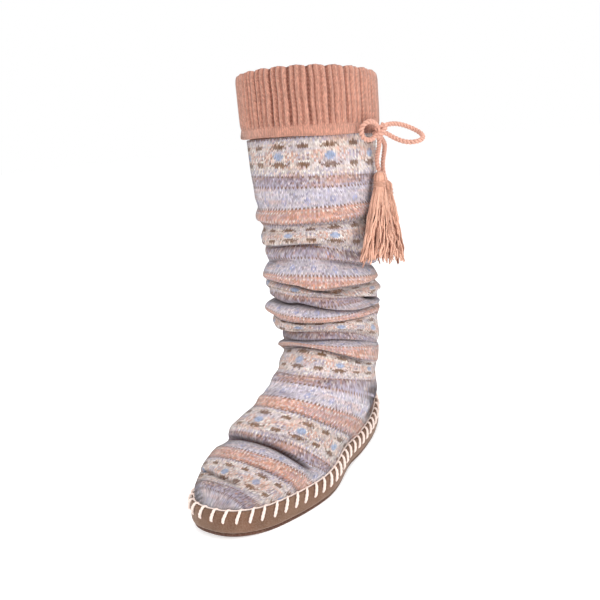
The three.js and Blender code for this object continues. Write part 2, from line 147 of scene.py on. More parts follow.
def sole_half(side, y, inset):
    """The sole's width from its middle line to the outer or the inner side."""
    station = station_of(y, inset)
    width = np.where(side > 0, SOLE("outer", station), SOLE("inner", station)) - inset
    return width * (1 - station**2) ** END_ROUNDING


def sole_centre(y):
    """The sideways place of the sole's middle line."""
    return SOLE("centre", station_of(y, 0))


def cup_edge(y):
    """The height of the cup's top edge over its underside."""
    return SOLE("edge", station_of(y, 0))


def lift(y):
    """How far the underside stands above the floor at the toe and under the arch."""
    spring = np.maximum(0, (SPRING_START - y) / (SOLE_LENGTH / 2 + SPRING_START))
    arch = np.clip((y - ARCH_FROM) / (ARCH_TO - ARCH_FROM), 0, 1)
    return TOE_SPRING * spring**2 + ARCH_RISE * np.sin(np.pi * arch) ** 2


def outline(share, inset):
    """Points of the sole's outline, from the heel round the outer side to the toe and back."""
    turn = 2 * np.pi * np.asarray(share, float)
    reach = SOLE_LENGTH / 2 - inset
    y = reach * np.cos(turn)
    side = np.sin(turn)
    x = sole_centre(y) + np.sign(np.round(side, 9)) * sole_half(side, y, inset)
    return np.stack([x, y], -1)


# The knitted tube

SECTIONS = Table(
    "knit front_y front_z back_y back_z half widest base crown ridge on_sole".split(),
    [
        [-3, 4, SHAFT_TOP, 114, SHAFT_TOP, SHAFT_RADIUS, 0.5, 2, 2, 0, 0],
        [30, 4.5, 254, 113.5, 254, 54.5, 0.5, 2, 2, 0, 0],
        [72, 8, 215, 110.5, 215, 51.5, 0.5, 2, 2, 0, 0],
        [130, 12, 171, 107, 167, 47.5, 0.5, 2, 2, 0, 0],
        [144, 12.5, 162, 106.5, 157, 47, 0.5, 2, 2, 0, 0],
        [216, 14, 128, 106, 112, 45.5, 0.5, 2, 2, 0, 0],
        [288, 16, 102, 105, 73, 42, 0.5, 2, 2, 0, 0],
        [306, 10, 93, 107, 59, 41, 0.5, 2, 2, -1, 0],
        [322, -2, 86, 111, 44, 41, 0.5, 2.1, 2.1, -2, 0],
        [335, -14, 80, 119, 4, 42, 0.46, 2.6, 2.3, -3, 0.2],
        [347, -25, 75, 88, 0, 44, 0.4, 4, 2.4, -4, 0.4],
        [360, -35, 70, 46, 2, 46, 0.36, 4, 2.4, -5, 0.5],
        [394, -62, 59, -10, 2, 48, 0.32, 4, 2.3, -6, 1],
        [419, -79, 52, -40, 2, 48, 0.3, 4, 2.3, -5, 1],
        [432, -88, 48, -56, 2, 48, 0.32, 4, 2.3, -4, 1],
        [466, -109, 38, -93, 2, 40, 0.4, 4, 2.4, -2, 1],
        [478, -116, 31, -109, 2, 28, 0.5, 4, 2.4, 0, 1],
        [486, -119.3, 24, -119.3, 2, 8, 0.5, 4, 2.4, 0, 1],
    ],
)

QUARTERS = ["front_in", "front_out", "back_out", "back_in"]
FRONT_IN = math.radians(-52)

DRIFT = Table(
    ["knit", *QUARTERS],
    [
        [0, 0, 0, 0, 0],
        [34, 3.7, 0.8, -2.9, 1],
        [59, -1, 0, -2.2, 1],
        [72, -1.3, 0.4, 0.8, 0],
        [106, 4.2, 2.6, -6.3, 2],
        [116, 1.3, 0, -3.6, 1],
        [131, 0, 0, -6, 0],
        [144, 4, 0, -2.4, 3],
        [178, 6.3, 8, -0.3, 2],
        [188, 3.9, 5.6, 1, 3],
        [203, 7.6, 3.6, 8.4, 2],
        [216, 7.2, 3, 6.5, 1],
        [250, 5, 3, -3.5, 2],
        [260, 0, -0.9, 0, 2],
        [275, 2.3, 0, 6.3, -2],
        [288, 3.6, 0.9, -2.9, 1],
        [306, 0, 0, 0, 0],
    ],
)

FOLDS = Table(
    ["knit", *QUARTERS],
    [
        [0, 0, 0, 0, 0],
        [48, 0, 0, 0, 0],
        [58, -3, -2.2, -2.2, -2],
        [66, 2.2, 2, 1.5, 2],
        [77, -3.2, -2.5, -2.5, -3],
        [90, 0.8, 1.2, 0, 1],
        [105, -2.5, -3.2, -1.5, -3],
        [111, -0.6, 1.2, -0.8, 0.5],
        [120, -3, -2.5, -3.5, -2],
        [135, 6.8, 4, 1.5, 4.5],
        [141, 5.6, 3.6, 1.2, 3.5],
        [150, -2.4, -5, -2, -4],
        [165, 2.6, 1.2, 2, 1],
        [187, -4.2, -3.6, -3, -4],
        [202, 6.8, 4.6, 1.5, 3.5],
        [210, 5.4, 4.4, 0.8, 2],
        [219, -1.4, -1.4, -0.5, -2],
        [235, 1.6, 3, 3, 2],
        [251, -5, -4, -0.5, -3.5],
        [256, -4, -2.2, 0, -2],
        [262, -4.5, -3.6, -1.5, -3],
        [278, 2.4, 2, 4.5, 2.5],
        [284, 1.8, 2.2, 3.5, 2],
        [293, -2.8, -1.8, 0.5, -1],
        [306, 0.5, 0, 0, 0],
        [321, -2, -1.2, 0, 0],
        [328, 0.8, 0.5, 0, 0],
        [335, -1.5, -1, 0, 0],
        [346, 1.5, 1, 0, 0],
        [357, -1, -0.5, 0, 0],
        [383, 4, 3, 0, 0],
        [402, -3.6, -4.5, -0.5, 0],
        [424, 1.5, 2.2, 0.5, 0],
        [443, 0, 0, 0, 0],
        [462, -1.4, -1.2, 0, 0],
        [471, 0.6, 0.4, 0, 0],
        [486, 0, 0, 0, 0],
    ],
)

# Sharper creases inside the folds: where each one starts and ends round the tube, in degrees from
# the toe towards the outer side, the fabric length there, its depth, its width and the lip above it.
CREASES = Table(
    ["start", "start_knit", "end", "end_knit", "depth", "width", "lip"],
    [
        [-70, 73, 100, 75, 2.0, 2.0, 0.8],
        [-60, 100, 42, 105, 3.0, 2.4, 1.8],
        [20, 116, 140, 123, 3.8, 2.8, 2.2],
        [-58, 121, 10, 117, 2.2, 2.2, 1.0],
        [-56, 146, 54, 151, 5.0, 3.0, 1.4],
        [0, 143, 136, 197, 9.0, 3.4, 3.2],
        [-50, 164, 16, 171, 2.2, 2.0, 1.0],
        [-78, 186, 0, 188, 5.4, 3.0, 2.8],
        [-36, 186, 126, 204, 5.4, 3.2, 3.0],
        [-60, 220, 112, 217, 4.0, 2.3, 1.6],
        [-70, 246, 6, 251, 4.0, 2.6, 2.0],
        [-40, 259, 92, 262, 3.4, 2.2, 1.6],
        [-60, 291, 104, 294, 3.8, 2.3, 1.6],
        [-58, 340, 20, 345, 2.0, 3.0, 1.0],
        [-20, 326, 70, 322, 1.8, 2.6, 0.8],
        [-54, 398, 96, 410, 6.5, 2.8, 3.8],
        [0, 390, 64, 386, 2.2, 2.4, 0.8],
        [-60, 450, 34, 458, 3.0, 2.4, 1.8],
        [10, 428, 70, 436, 1.8, 2.6, 1.0],
        [130, 150, 250, 156, 4.0, 3.2, 2.2],
        [150, 186, 262, 192, 3.2, 2.8, 1.6],
        [140, 262, 230, 258, 2.6, 2.4, 1.2],
        [190, 110, 280, 118, 2.6, 2.6, 1.4],
        [120, 214, 240, 220, 2.2, 2.6, 1.0],
    ],
)

HEEL_MIDDLE = 84.0
TOE_MIDDLE = -78.0
SEAT_FROM = 4.0
SEAT_FULL = 7.5
SEAT_OVER_EDGE = 1.0
TOE_BLEND = 8.0
HEEL_BLEND = 26.0
HEEL_BLEND_BETWEEN = (20, 80)
SEAT_ROUNDS = 20

# The fold table is read at three fabric lengths and mixed, so that its crests are round.
FOLD_BLUR = ((-4.0, 0.22), (0.0, 0.56), (4.0, 0.22))
FOLD_SAG = 0.5
FOLD_DEEP = -5.5
FOLD_HIGH = 7.5
PLUMP = 2.6
CREASE_BEND = 2.2
CREASE_FADE = 0.22
LIP_SAG = 0.8

# Fabric lengths between which the slouch and the sway of its bands set in and die away.
SLOUCH_SETS_IN = (44, 58)
SLOUCH_CALMS = (296, 330)
SLOUCH_ENDS = (420, 450)
SWAY_SETS_IN = (70, 110)
SWAY_ENDS = (285, 330)
SLACK_MIDDLE = 190
SLACK_REACH = 70
CALM_TOP = (10, 50)

# The toe's tuck, with the fabric lengths and heights over which it sets in, and the run of y over
# which the toe's end takes the wall's thickness.
TOE_TUCK = 9.0
TOE_TUCK_KNIT = (473, 486)
TOE_TUCK_HEIGHT = (10, 26)
TOE_WALL = (-119, -60)

# Heights over the cup's edge at which the folds start and are full, and heights over which the
# underside's lift fades.
FOLDS_START = 2
FOLDS_FULL = 16
LIFT_FADES = (20, 60)


def round_tube(table, knit, turn):
    """A value round the tube from its four quarters: its mean, a lean, and a squeeze."""
    a, b, c, d = (table(quarter, knit) for quarter in QUARTERS)
    start = turn - FRONT_IN
    lean = (a - c) / 2 * np.cos(start) + (b - d) / 2 * np.sin(start)
    return (a + b + c + d) / 4 + lean + (a - b + c - d) / 4 * np.cos(2 * start)


def creases(turn, knit):
    """How far the sharp creases draw the fabric in, and how far their upper lips sag."""
    degrees = np.degrees(turn)
    out = np.zeros(np.broadcast(turn, knit).shape)
    sag = np.zeros_like(out)
    for row in CREASES.rows:
        span = row["end"] - row["start"]
        share = np.mod(degrees - row["start"], 360) / span
        bend = CREASE_BEND * np.sin(share * 5 + row["start_knit"])
        line = mix(row["start_knit"], row["end_knit"], np.clip(share, 0, 1)) + bend
        fade = ease(0, CREASE_FADE, share) * (1 - ease(1 - CREASE_FADE, 1, share))
        width = row["width"] * mix(0.7, 1, fade)
        out -= row["depth"] * fade * bell(knit - line, width)
        lip = row["lip"] * fade * bell(knit - line + 1.9 * width, 1.3 * width)
        out += lip
        sag += LIP_SAG * lip
    return out, sag


def unevenness(turn, knit):
    """The slack of a tube that nothing fills, as long shallow waves."""
    slow = np.sin(3 * turn + knit / 19) * np.sin(knit / 13 + 1.7 * np.sin(turn))
    quick = np.sin(7 * turn - knit / 9) * np.sin(knit / 7.3 + 2 * turn)
    slouched = 1 + 1.3 * bell(knit - SLACK_MIDDLE, SLACK_REACH)
    return (0.8 * slow + 0.45 * quick) * slouched


def sway(turn, knit):
    """How far the slack bands wander up and down round the tube."""
    reach = ease(*SWAY_SETS_IN, knit) * (1 - ease(*SWAY_ENDS, knit))
    return reach * (2.4 * np.sin(2 * turn + knit / 31 + 4.24) + 0.8 * np.sin(3 * turn - knit / 17))


def soft_folds(turn, knit):
    """The slouch folds with their crests rounded, and how far each crest rolls down."""
    folds = sum(share * round_tube(FOLDS, knit + off, turn) for off, share in FOLD_BLUR)
    calm = 1 - 0.7 * ease(*SLOUCH_CALMS, knit)
    slouched = ease(*SLOUCH_SETS_IN, knit) * calm * (1 - ease(*SLOUCH_ENDS, knit))
    half_range = (FOLD_HIGH - FOLD_DEEP) / 2
    middle = np.clip((folds - FOLD_DEEP) * (FOLD_HIGH - folds), 0, None) / half_range**2
    return folds + PLUMP * slouched * (middle - 0.5), FOLD_SAG * np.maximum(0, folds - 0.5)


def seat(x, y, z, inset):
    """Draws the knit's lower edge out to the inside of the cup."""
    edge = cup_edge(y) + SEAT_OVER_EDGE
    blend = mix(TOE_BLEND, HEEL_BLEND, ease(*HEEL_BLEND_BETWEEN, y))
    hold = 1 - ease(edge, edge + blend, z)
    y_middle = np.clip(y, TOE_MIDDLE, HEEL_MIDDLE)
    x_middle = sole_centre(y_middle)
    own = np.hypot(x - x_middle, y - y_middle)
    low = (hold > 0) & (own > 1e-6)
    way_x = (x - x_middle)[low] / own[low]
    way_y = (y - y_middle)[low] / own[low]
    x_middle, y_middle = x_middle[low], y_middle[low]
    near, far = np.zeros(way_x.shape), np.full(way_x.shape, SOLE_LENGTH / 2)
    limit = KNIT_INSET + inset
    for _ in range(SEAT_ROUNDS):
        reach = (near + far) / 2
        at_x, at_y = x_middle + way_x * reach, y_middle + way_y * reach
        out = at_x - sole_centre(at_y)
        inside = (np.abs(at_y) < SOLE_LENGTH / 2 - limit) & (np.abs(out) < sole_half(out, at_y, limit))
        near, far = np.where(inside, reach, near), np.where(inside, far, reach)
    seated = mix(np.minimum(own[low], near), near, ease(SEAT_FROM, SEAT_FULL, z[low]))
    reach = mix(own[low], seated, hold[low])
    x, y = x.copy(), y.copy()
    x[low], y[low] = x_middle + way_x * reach, y_middle + way_y * reach
    return x, y


def knit_surface(turn, knit, inset=0.0, folded=1.0):
    """Points of the knit, turned from the toe to the outer side, at fabric lengths from the cuff."""
    turn, knit = np.broadcast_arrays(turn, knit)
    at = {name: SECTIONS(name, knit) for name in SECTIONS.columns}
    toe = inset * (1 - ease(*TOE_WALL, at["back_y"]))
    front_y, front_z = at["front_y"] + toe, at["front_z"]
    back_y, back_z = at["back_y"] + toe, at["back_z"]
    length = np.hypot(front_y - back_y, front_z - back_z)
    along_y, along_z = (front_y - back_y) / length, (front_z - back_z) / length
    length = length - 2 * inset
    back_y, back_z = back_y + inset * along_y, back_z + inset * along_z
    widest, on_sole = at["widest"], at["on_sole"]
    middle_y, middle_z = back_y + widest * length * along_y, back_z + widest * length * along_z
    sole_width = (sole_half(1, middle_y, KNIT_INSET) + sole_half(-1, middle_y, KNIT_INSET)) / 2
    half = mix(at["half"], sole_width, on_sole) - inset
    cos, sin = np.cos(turn), np.sin(turn)
    power = 2 / np.where(cos > 0, at["crown"], at["base"])
    share = np.sign(cos) * np.abs(cos) ** power
    rise = np.where(share > 0, share * (1 - widest), share * widest) * length
    out = np.stack([np.sign(sin) * np.abs(sin) ** power * half, along_y * rise, along_z * rise], -1)
    centre_x = on_sole * sole_centre(middle_y) + at["ridge"] * np.maximum(share, 0) ** 2
    x, y, z = out[..., 0] + centre_x, middle_y + out[..., 1], middle_z + out[..., 2]
    out /= np.linalg.norm(out, axis=-1, keepdims=True)
    edge = cup_edge(y)
    free = ease(edge + FOLDS_START, edge + FOLDS_FULL, z)
    sharp, sag = creases(turn, knit)
    folds, roll = soft_folds(turn, knit)
    fold = (folds + folded * (sharp + unevenness(turn, knit) * ease(*CALM_TOP, knit))) * free
    x, y, z = x + out[..., 0] * fold, y + out[..., 1] * fold, z + out[..., 2] * fold
    z = z + round_tube(DRIFT, knit, turn) + folded * (sway(turn, knit) - sag - roll) * free
    z = z - TOE_TUCK * ease(*TOE_TUCK_KNIT, knit) * ease(*TOE_TUCK_HEIGHT, z)
    x, y = seat(x, y, z, inset)
    z = z + lift(y) * (1 - ease(*LIFT_FADES, z))
    return np.stack([x, y, z], -1)


# Meshes

# Shares of a ply's greatest distance from its cord's middle between which shade turns into light.
PLY_SHADE = (0.5, 0.97)


class Pile:
    """Points and faces of many small tubes that become one mesh."""

    def __init__(self):
        self.points = []
        self.faces = []
        self.shades = []
        self.count = 0

    def tube(self, path, radius, sides, lobes, twist, shade=1.0, around=None):
        """A closed tube along a path; two lobes that turn make it look plied.

        Where it's laid round another path, the parts nearest to that path are in shade.
        """
        side, up = frames(path)
        count = len(path)
        radius = np.broadcast_to(radius, count)
        turn = 2 * np.pi * np.arange(sides) / sides
        spin = twist * length_along(path)[:, None]
        reach = radius[:, None] * (1 + lobes * np.cos(2 * (turn[None, :] - spin)))
        cos, sin = np.cos(turn)[None, :, None], np.sin(turn)[None, :, None]
        ring = side[:, None, :] * cos + up[:, None, :] * sin
        points = path[:, None, :] + ring * reach[..., None]
        shades = np.full(count * sides + 2, shade)
        if around is not None:
            from_middle = np.linalg.norm(points - around[:, None, :], axis=-1)
            lit = ease(*PLY_SHADE, from_middle / from_middle.max())
            shades = np.concatenate([lit.ravel(), [0, 0]])
        first, last = count * sides, count * sides + 1
        base = (count - 1) * sides
        faces = grid_faces(count, sides).tolist()
        pairs = [(k, (k + 1) % sides) for k in range(sides)]
        faces += [[first, a, b] for a, b in pairs]
        faces += [[last, base + b, base + a] for a, b in pairs]
        self.faces += [[self.count + point for point in face] for face in faces]
        self.points.append(np.vstack([points.reshape(-1, 3), path[[0, -1]]]))
        self.shades.append(shades)
        self.count += count * sides + 2

    def mesh(self, name, material, slot, nodes=()):
        """The tubes as one piece, with the shade of each point."""
        painted_shade = 1 - np.concatenate(self.shades)
        return make_piece(name, np.vstack(self.points), self.faces, material, nodes, painted_shade=painted_shade)


def length_along(path):
    """The length of a path from its start to each of its points."""
    steps = np.linalg.norm(np.diff(path, axis=0), axis=1)
    return np.concatenate([[0], np.cumsum(steps)])


def frames(path):
    """Two directions across a path at each of its points, carried along it without twist."""
    ahead = np.gradient(path, axis=0)
    ahead /= np.linalg.norm(ahead, axis=1, keepdims=True)
    side = np.zeros_like(path)
    start = np.cross(ahead[0], [0, 0, 1.0])
    if np.linalg.norm(start) < 0.1:
        start = np.cross(ahead[0], [1.0, 0, 0])
    side[0] = start / np.linalg.norm(start)
    for i in range(1, len(path)):
        carried = side[i - 1] - ahead[i] * (side[i - 1] @ ahead[i])
        side[i] = carried / np.linalg.norm(carried)
    return side, np.cross(ahead, side)


def smooth_path(points, step):
    """A smooth curve through points, with a point every step of its length."""
    points = np.asarray(points, float)
    padded = np.vstack([2 * points[0] - points[1], points, 2 * points[-1] - points[-2]])
    t = np.linspace(0, 1, 24, endpoint=False)[:, None]
    pieces = []
    for a, b, c, d in zip(padded, padded[1:], padded[2:], padded[3:]):
        bend = (2 * a - 5 * b + 4 * c - d) * t**2 + (3 * b - a - 3 * c + d) * t**3
        pieces.append((2 * b + (c - a) * t + bend) / 2)
    dense = np.vstack([*pieces, points[-1:]])
    along = length_along(dense)
    at = np.linspace(0, along[-1], max(2, round(along[-1] / step) + 1))
    return np.stack([np.interp(at, along, dense[:, axis]) for axis in range(3)], -1)


def grid_faces(rows, columns):
    """Quads of a grid of points whose rows run down or along and whose columns close round."""
    row = np.arange(rows - 1)[:, None] * columns
    here = np.arange(columns)[None, :]
    after = (here + 1) % columns
    corners = [row + here, row + columns + here, row + columns + after, row + after]
    return np.stack(corners, -1).reshape(-1, 4)


def lid_faces(count, start, flip):
    """Rungs that close a loop along the sole from side to side."""
    faces = []
    for k in range(count // 2):
        right, left = start + k, start + (count - k) % count
        right_next, left_next = start + k + 1, start + count - k - 1
        face = [right, right_next, left_next, left]
        face = [p for i, p in enumerate(face) if p not in face[:i]]
        if len(face) > 2:
            faces.append(face[::-1] if flip else face)
    return faces


LEG_CORNERS = np.array([[0, 0, 0], [0, 1, 0], [1, 1, 0], [1, 0, 0]], float)
LEG_MIDDLE = 0.5


def note(mesh, name, kind, domain, field, values):
    """Keeps a value for each corner or point of a mesh, for its material to read."""
    attribute = mesh.attributes.new(name, kind, domain)
    attribute.data.foreach_set(field, np.asarray(values, np.float32).ravel())


def make_piece(name, points, faces, material, nodes, yarn=None, painted_shade=None, legs=0):
    """A mesh in metres that rides on the shoe and stands for the nodes it is given.

    Its first faces, as many as legs, are each one leg of a knitted V.
    """
    mesh = bpy.data.meshes.new(name)
    faces = faces.tolist() if isinstance(faces, np.ndarray) else faces
    mesh.from_pydata((np.asarray(points) * MM).tolist(), [], faces)
    mesh.shade_smooth()
    corners = [len(face) for face in faces]
    if yarn is not None:
        colours = np.repeat(yarn, corners, axis=0)
        colours = np.concatenate([colours, np.ones((len(colours), 1))], axis=1)
        note(mesh, "yarn", "FLOAT_COLOR", "CORNER", "color", colours)
    if legs:
        places = np.full((sum(corners), 3), LEG_MIDDLE)
        places[: 4 * legs] = np.tile(LEG_CORNERS, (legs, 1))
        note(mesh, "leg", "FLOAT_VECTOR", "CORNER", "vector", places)
    # Painted shade for each point, which the material darkens the yarn by.
    if painted_shade is not None:
        note(mesh, "painted_shade", "FLOAT", "POINT", "value", painted_shade)
    mesh.materials.append(material)
    piece = bpy.data.objects.new(name, mesh)
    bpy.context.scene.collection.objects.link(piece)
    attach(piece, BODY)
    if nodes:
        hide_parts(*nodes)
    return piece


# Materials

SHEEN_SPREAD = 0.45
DULL_SPECULAR = 0.2
YARN_SHEEN = (1, 0.96, 0.94)
SUEDE_SHEEN = (0.9, 0.75, 0.65)
FIBRE_SCALE = 1500
FIBRE_TINT = (0.55, 0.5, 0.48, 1)
DYE_SCALE = 90
DYE_TINT = (0.72, 0.68, 0.68, 1)
# The dark colour that painted shade in grooves, creases and other hollows pulls the yarn towards.
PAINTED_SHADE_TINT = (0.3, 0.2, 0.18, 1)
LEG_ENDS = 0.6
BRUSHED_SCALE = 55
BRUSHED_TINT = (0.74, 0.72, 0.7, 1)
PATCH_SCALE = 21
SPECKLE = 0.22
SPECKLE_TINT = (0.4, 0.32, 0.27, 1)
NAP_ROUGHNESS = (0.82, 0.97)


def put(tree, kind, inputs, **settings):
    """Adds a node to a tree, with its settings and the values or links of its inputs."""
    made = tree.nodes.new(kind)
    for name, value in settings.items():
        setattr(made, name, value)
    for name, value in inputs.items():
        if isinstance(value, bpy.types.NodeSocket):
            tree.links.new(value, made.inputs[name])
        else:
            made.inputs[name].default_value = value
    return made


def new_group(name, inputs, outputs):
    """A shader node group with named inputs, each with a type and a default, and named outputs."""
    group = bpy.data.node_groups.new(name, "ShaderNodeTree")
    for label, kind, default in inputs:
        socket = group.interface.new_socket(label, in_out="INPUT", socket_type=kind)
        socket.default_value = default
    for label, kind in outputs:
        group.interface.new_socket(label, in_out="OUTPUT", socket_type=kind)
    return group, group.nodes.new("NodeGroupInput").outputs, group.nodes.new("NodeGroupOutput").inputs


def mixed(tree, blend, factor, first, second):
    """The colour of two mixed by a factor."""
    inputs = {0: factor, 6: first, 7: second}
    settings = {"data_type": "RGBA", "blend_type": blend, "clamp_factor": True}
    return put(tree, "ShaderNodeMix", inputs, **settings).outputs[2]


def math_node(tree, operation, first, second, clamp=False):
    """The result of a sum on two values."""
    inputs = {0: first, 1: second}
    return put(tree, "ShaderNodeMath", inputs, operation=operation, use_clamp=clamp).outputs[0]


def noise(tree, place, scale, detail, roughness):
    """Soft noise in space, from 0 to 1."""
    inputs = {"Vector": place, "Scale": scale, "Detail": detail, "Roughness": roughness}
    return put(tree, "ShaderNodeTexNoise", inputs).outputs["Fac"]


def ramp(tree, value, low, high):
    """0 below low and 1 above high."""
    inputs = {"Value": value, "From Min": low, "From Max": high}
    return put(tree, "ShaderNodeMapRange", inputs, clamp=True).outputs["Result"]


def on_mesh(tree, name, output):
    """A value that the mesh keeps under a name."""
    return put(tree, "ShaderNodeAttribute", {}, attribute_name=name).outputs[output]


def own_space(tree):
    """The place on the piece, in its own metres."""
    return put(tree, "ShaderNodeTexCoord", {}).outputs["Object"]


def yarn_group():
    """Spun yarn: fibre streaks, uneven dye, and shade painted into the grooves between strands."""
    group, given, made = new_group(
        "Spun yarn",
        [
            ("Color", "NodeSocketColor", (0.8, 0.8, 0.8, 1)),
            ("Painted Shade", "NodeSocketFloat", 0.0),
            ("Shade Strength", "NodeSocketFloat", 0.5),
            ("Streak", "NodeSocketFloat", 0.2),
        ],
        [("Color", "NodeSocketColor"), ("Height", "NodeSocketFloat")],
    )
    place = own_space(group)
    fibre = noise(group, place, FIBRE_SCALE, 3, 0.6)
    dye = noise(group, place, DYE_SCALE, 3, 0.6)
    light = ramp(group, fibre, 0.25, 0.75)
    tone = math_node(group, "MULTIPLY", given["Streak"], light)
    paler = mixed(group, "SCREEN", tone, given["Color"], FIBRE_TINT)
    amount = math_node(group, "MULTIPLY", given["Streak"], ramp(group, dye, 0.35, 0.75))
    dyed = mixed(group, "MULTIPLY", amount, paler, DYE_TINT)
    # Painted shade: the colour is darkened where the mesh and the legs mark grooves, creases and
    # hollows.
    depth = math_node(group, "MULTIPLY", given["Shade Strength"], given["Painted Shade"], clamp=True)
    deep = mixed(group, "MULTIPLY", depth, dyed, PAINTED_SHADE_TINT)
    group.links.new(deep, made["Color"])
    group.links.new(fibre, made["Height"])
    return group


def leg_group():
    """One leg of a knitted V, round across its middle and tucked under at its ends."""
    group, given, made = new_group(
        "Knitted leg",
        [("Roundness", "NodeSocketFloat", 1.0)],
        [("Height", "NodeSocketFloat"), ("Painted Shade", "NodeSocketFloat")],
    )
    place = on_mesh(group, "leg", "Vector")
    parts = put(group, "ShaderNodeSeparateXYZ", {"Vector": place}).outputs
    fall = []
    for axis in ("X", "Y"):
        doubled = math_node(group, "MULTIPLY", parts[axis], 2.0)
        centred = math_node(group, "SUBTRACT", doubled, 1.0)
        fall.append(math_node(group, "MULTIPLY", centred, centred))
    tucked = math_node(group, "MULTIPLY", fall[1], fall[1])
    ends = math_node(group, "MULTIPLY", tucked, LEG_ENDS)
    # The leg's hollows: painted as shade, and turned upside down as its height.
    painted_shade = math_node(group, "ADD", fall[0], ends, clamp=True)
    shaped = math_node(group, "MULTIPLY", painted_shade, given["Roundness"])
    group.links.new(math_node(group, "SUBTRACT", 1.0, shaped), made["Height"])
    group.links.new(shaped, made["Painted Shade"])
    return group


def nap_group():
    """Brushed suede or fleece: fine nap, brushed patches and a second tint in places."""
    group, given, made = new_group(
        "Brushed nap",
        [
            ("Color", "NodeSocketColor", (0.3, 0.2, 0.15, 1)),
            ("Patch Color", "NodeSocketColor", (0.3, 0.15, 0.1, 1)),
            ("Patch Amount", "NodeSocketFloat", 0.3),
            ("Grain", "NodeSocketFloat", 900.0),
        ],
        [("Color", "NodeSocketColor"), ("Height", "NodeSocketFloat"), ("Roughness", "NodeSocketFloat")],
    )
    place = own_space(group)
    fine = noise(group, place, given["Grain"], 4, 0.7)
    soft = noise(group, place, BRUSHED_SCALE, 4, 0.62)
    wide = noise(group, place, PATCH_SCALE, 2, 0.5)
    patch = math_node(group, "MULTIPLY", ramp(group, wide, 0.45, 0.68), given["Patch Amount"])
    tinted = mixed(group, "MIX", patch, given["Color"], given["Patch Color"])
    brushed = mixed(group, "MULTIPLY", ramp(group, soft, 0.42, 0.7), tinted, BRUSHED_TINT)
    speckle = math_node(group, "MULTIPLY", ramp(group, fine, 0.45, 0.7), SPECKLE)
    speckled = mixed(group, "SCREEN", speckle, brushed, SPECKLE_TINT)
    height = math_node(group, "ADD", math_node(group, "MULTIPLY", fine, 0.5), soft)
    smoothest, roughest = NAP_ROUGHNESS
    worn = {"Value": soft, "To Min": smoothest, "To Max": roughest}
    roughness = put(group, "ShaderNodeMapRange", worn).outputs["Result"]
    group.links.new(speckled, made["Color"])
    group.links.new(height, made["Height"])
    group.links.new(roughness, made["Roughness"])
    return group


def group_called(name, maker):
    """A node group that the first material to need it makes."""
    return bpy.data.node_groups.get(name) or maker()


def new_material(name, roughness, sheen, sheen_tint):
    """A material with a dull, slightly sheened shader, its node tree and its shader."""
    material = bpy.data.materials.new(name)
    material.use_nodes = True
    tree = material.node_tree
    tree.nodes.clear()
    finish = {
        "Roughness": roughness,
        "Sheen Weight": sheen,
        "Sheen Roughness": SHEEN_SPREAD,
        "Sheen Tint": (*sheen_tint, 1),
        "Specular IOR Level": DULL_SPECULAR,
    }
    shader = put(tree, "ShaderNodeBsdfPrincipled", finish)
    put(tree, "ShaderNodeOutputMaterial", {"Surface": shader.outputs["BSDF"]})
    return material, tree, shader


def link_bump(tree, shader, height, strength, distance):
    """Feeds a height to the shader's normal, over a distance in metres."""
    bump = put(tree, "ShaderNodeBump", {"Height": height, "Strength": strength, "Distance": distance})
    tree.links.new(bump.outputs["Normal"], shader.inputs["Normal"])


def yarn_material(name, colour, shade_strength, streak, sheen=0.25, knitted=0.0):
    """Yarn in one colour, or in the colours charted on the mesh where it is None."""
    material, tree, shader = new_material(name, 0.92, sheen, YARN_SHEEN)
    base = (*colour, 1) if colour else on_mesh(tree, "yarn", "Color")
    # The painted shade that the mesh keeps and, when knitted, more painted shade in each leg's hollows.
    painted_shade = on_mesh(tree, "painted_shade", "Fac")
    if knitted:
        leg = put(tree, "ShaderNodeGroup", {}, node_tree=group_called("Knitted leg", leg_group)).outputs
        painted_shade = math_node(tree, "ADD", painted_shade, math_node(tree, "MULTIPLY", leg["Painted Shade"], knitted))
    inputs = {"Color": base, "Painted Shade": painted_shade, "Shade Strength": shade_strength, "Streak": streak}
    spun = put(tree, "ShaderNodeGroup", inputs, node_tree=group_called("Spun yarn", yarn_group))
    tree.links.new(spun.outputs["Color"], shader.inputs["Base Color"])
    height = spun.outputs["Height"]
    if knitted:
        fibre = math_node(tree, "MULTIPLY", height, 0.35)
        link_bump(tree, shader, math_node(tree, "ADD", fibre, leg["Height"]), 0.7, 0.0006)
    else:
        link_bump(tree, shader, height, 0.5, 0.0003)
    return material


def nap_material(name, colour, patch, amount, grain, bump, sheen):
    """Suede or fleece in a colour, with patches of another."""
    material, tree, shader = new_material(name, 0.9, sheen, SUEDE_SHEEN)
    inputs = {"Color": (*colour, 1), "Patch Color": (*patch, 1), "Patch Amount": amount, "Grain": grain}
    nap = put(tree, "ShaderNodeGroup", inputs, node_tree=group_called("Brushed nap", nap_group))
    tree.links.new(nap.outputs["Color"], shader.inputs["Base Color"])
    tree.links.new(nap.outputs["Roughness"], shader.inputs["Roughness"])
    link_bump(tree, shader, nap.outputs["Height"], 0.6, bump)
    return material


# Colours and sizes that a user would change


def colour_setting(label, text, default):
    """A colour that a user can pick."""
    return bpy.props.FloatVectorProperty(
        name=label, description=text, default=linear(default), subtype="COLOR", size=3, min=0, max=1
    )


def size_setting(label, text, default, low, high):
    """A length in metres that a user can set."""
    return bpy.props.FloatProperty(
        name=label,
        description=text,
        default=default,
        min=low,
        max=high,
        unit="LENGTH",
        subtype="DISTANCE",
    )


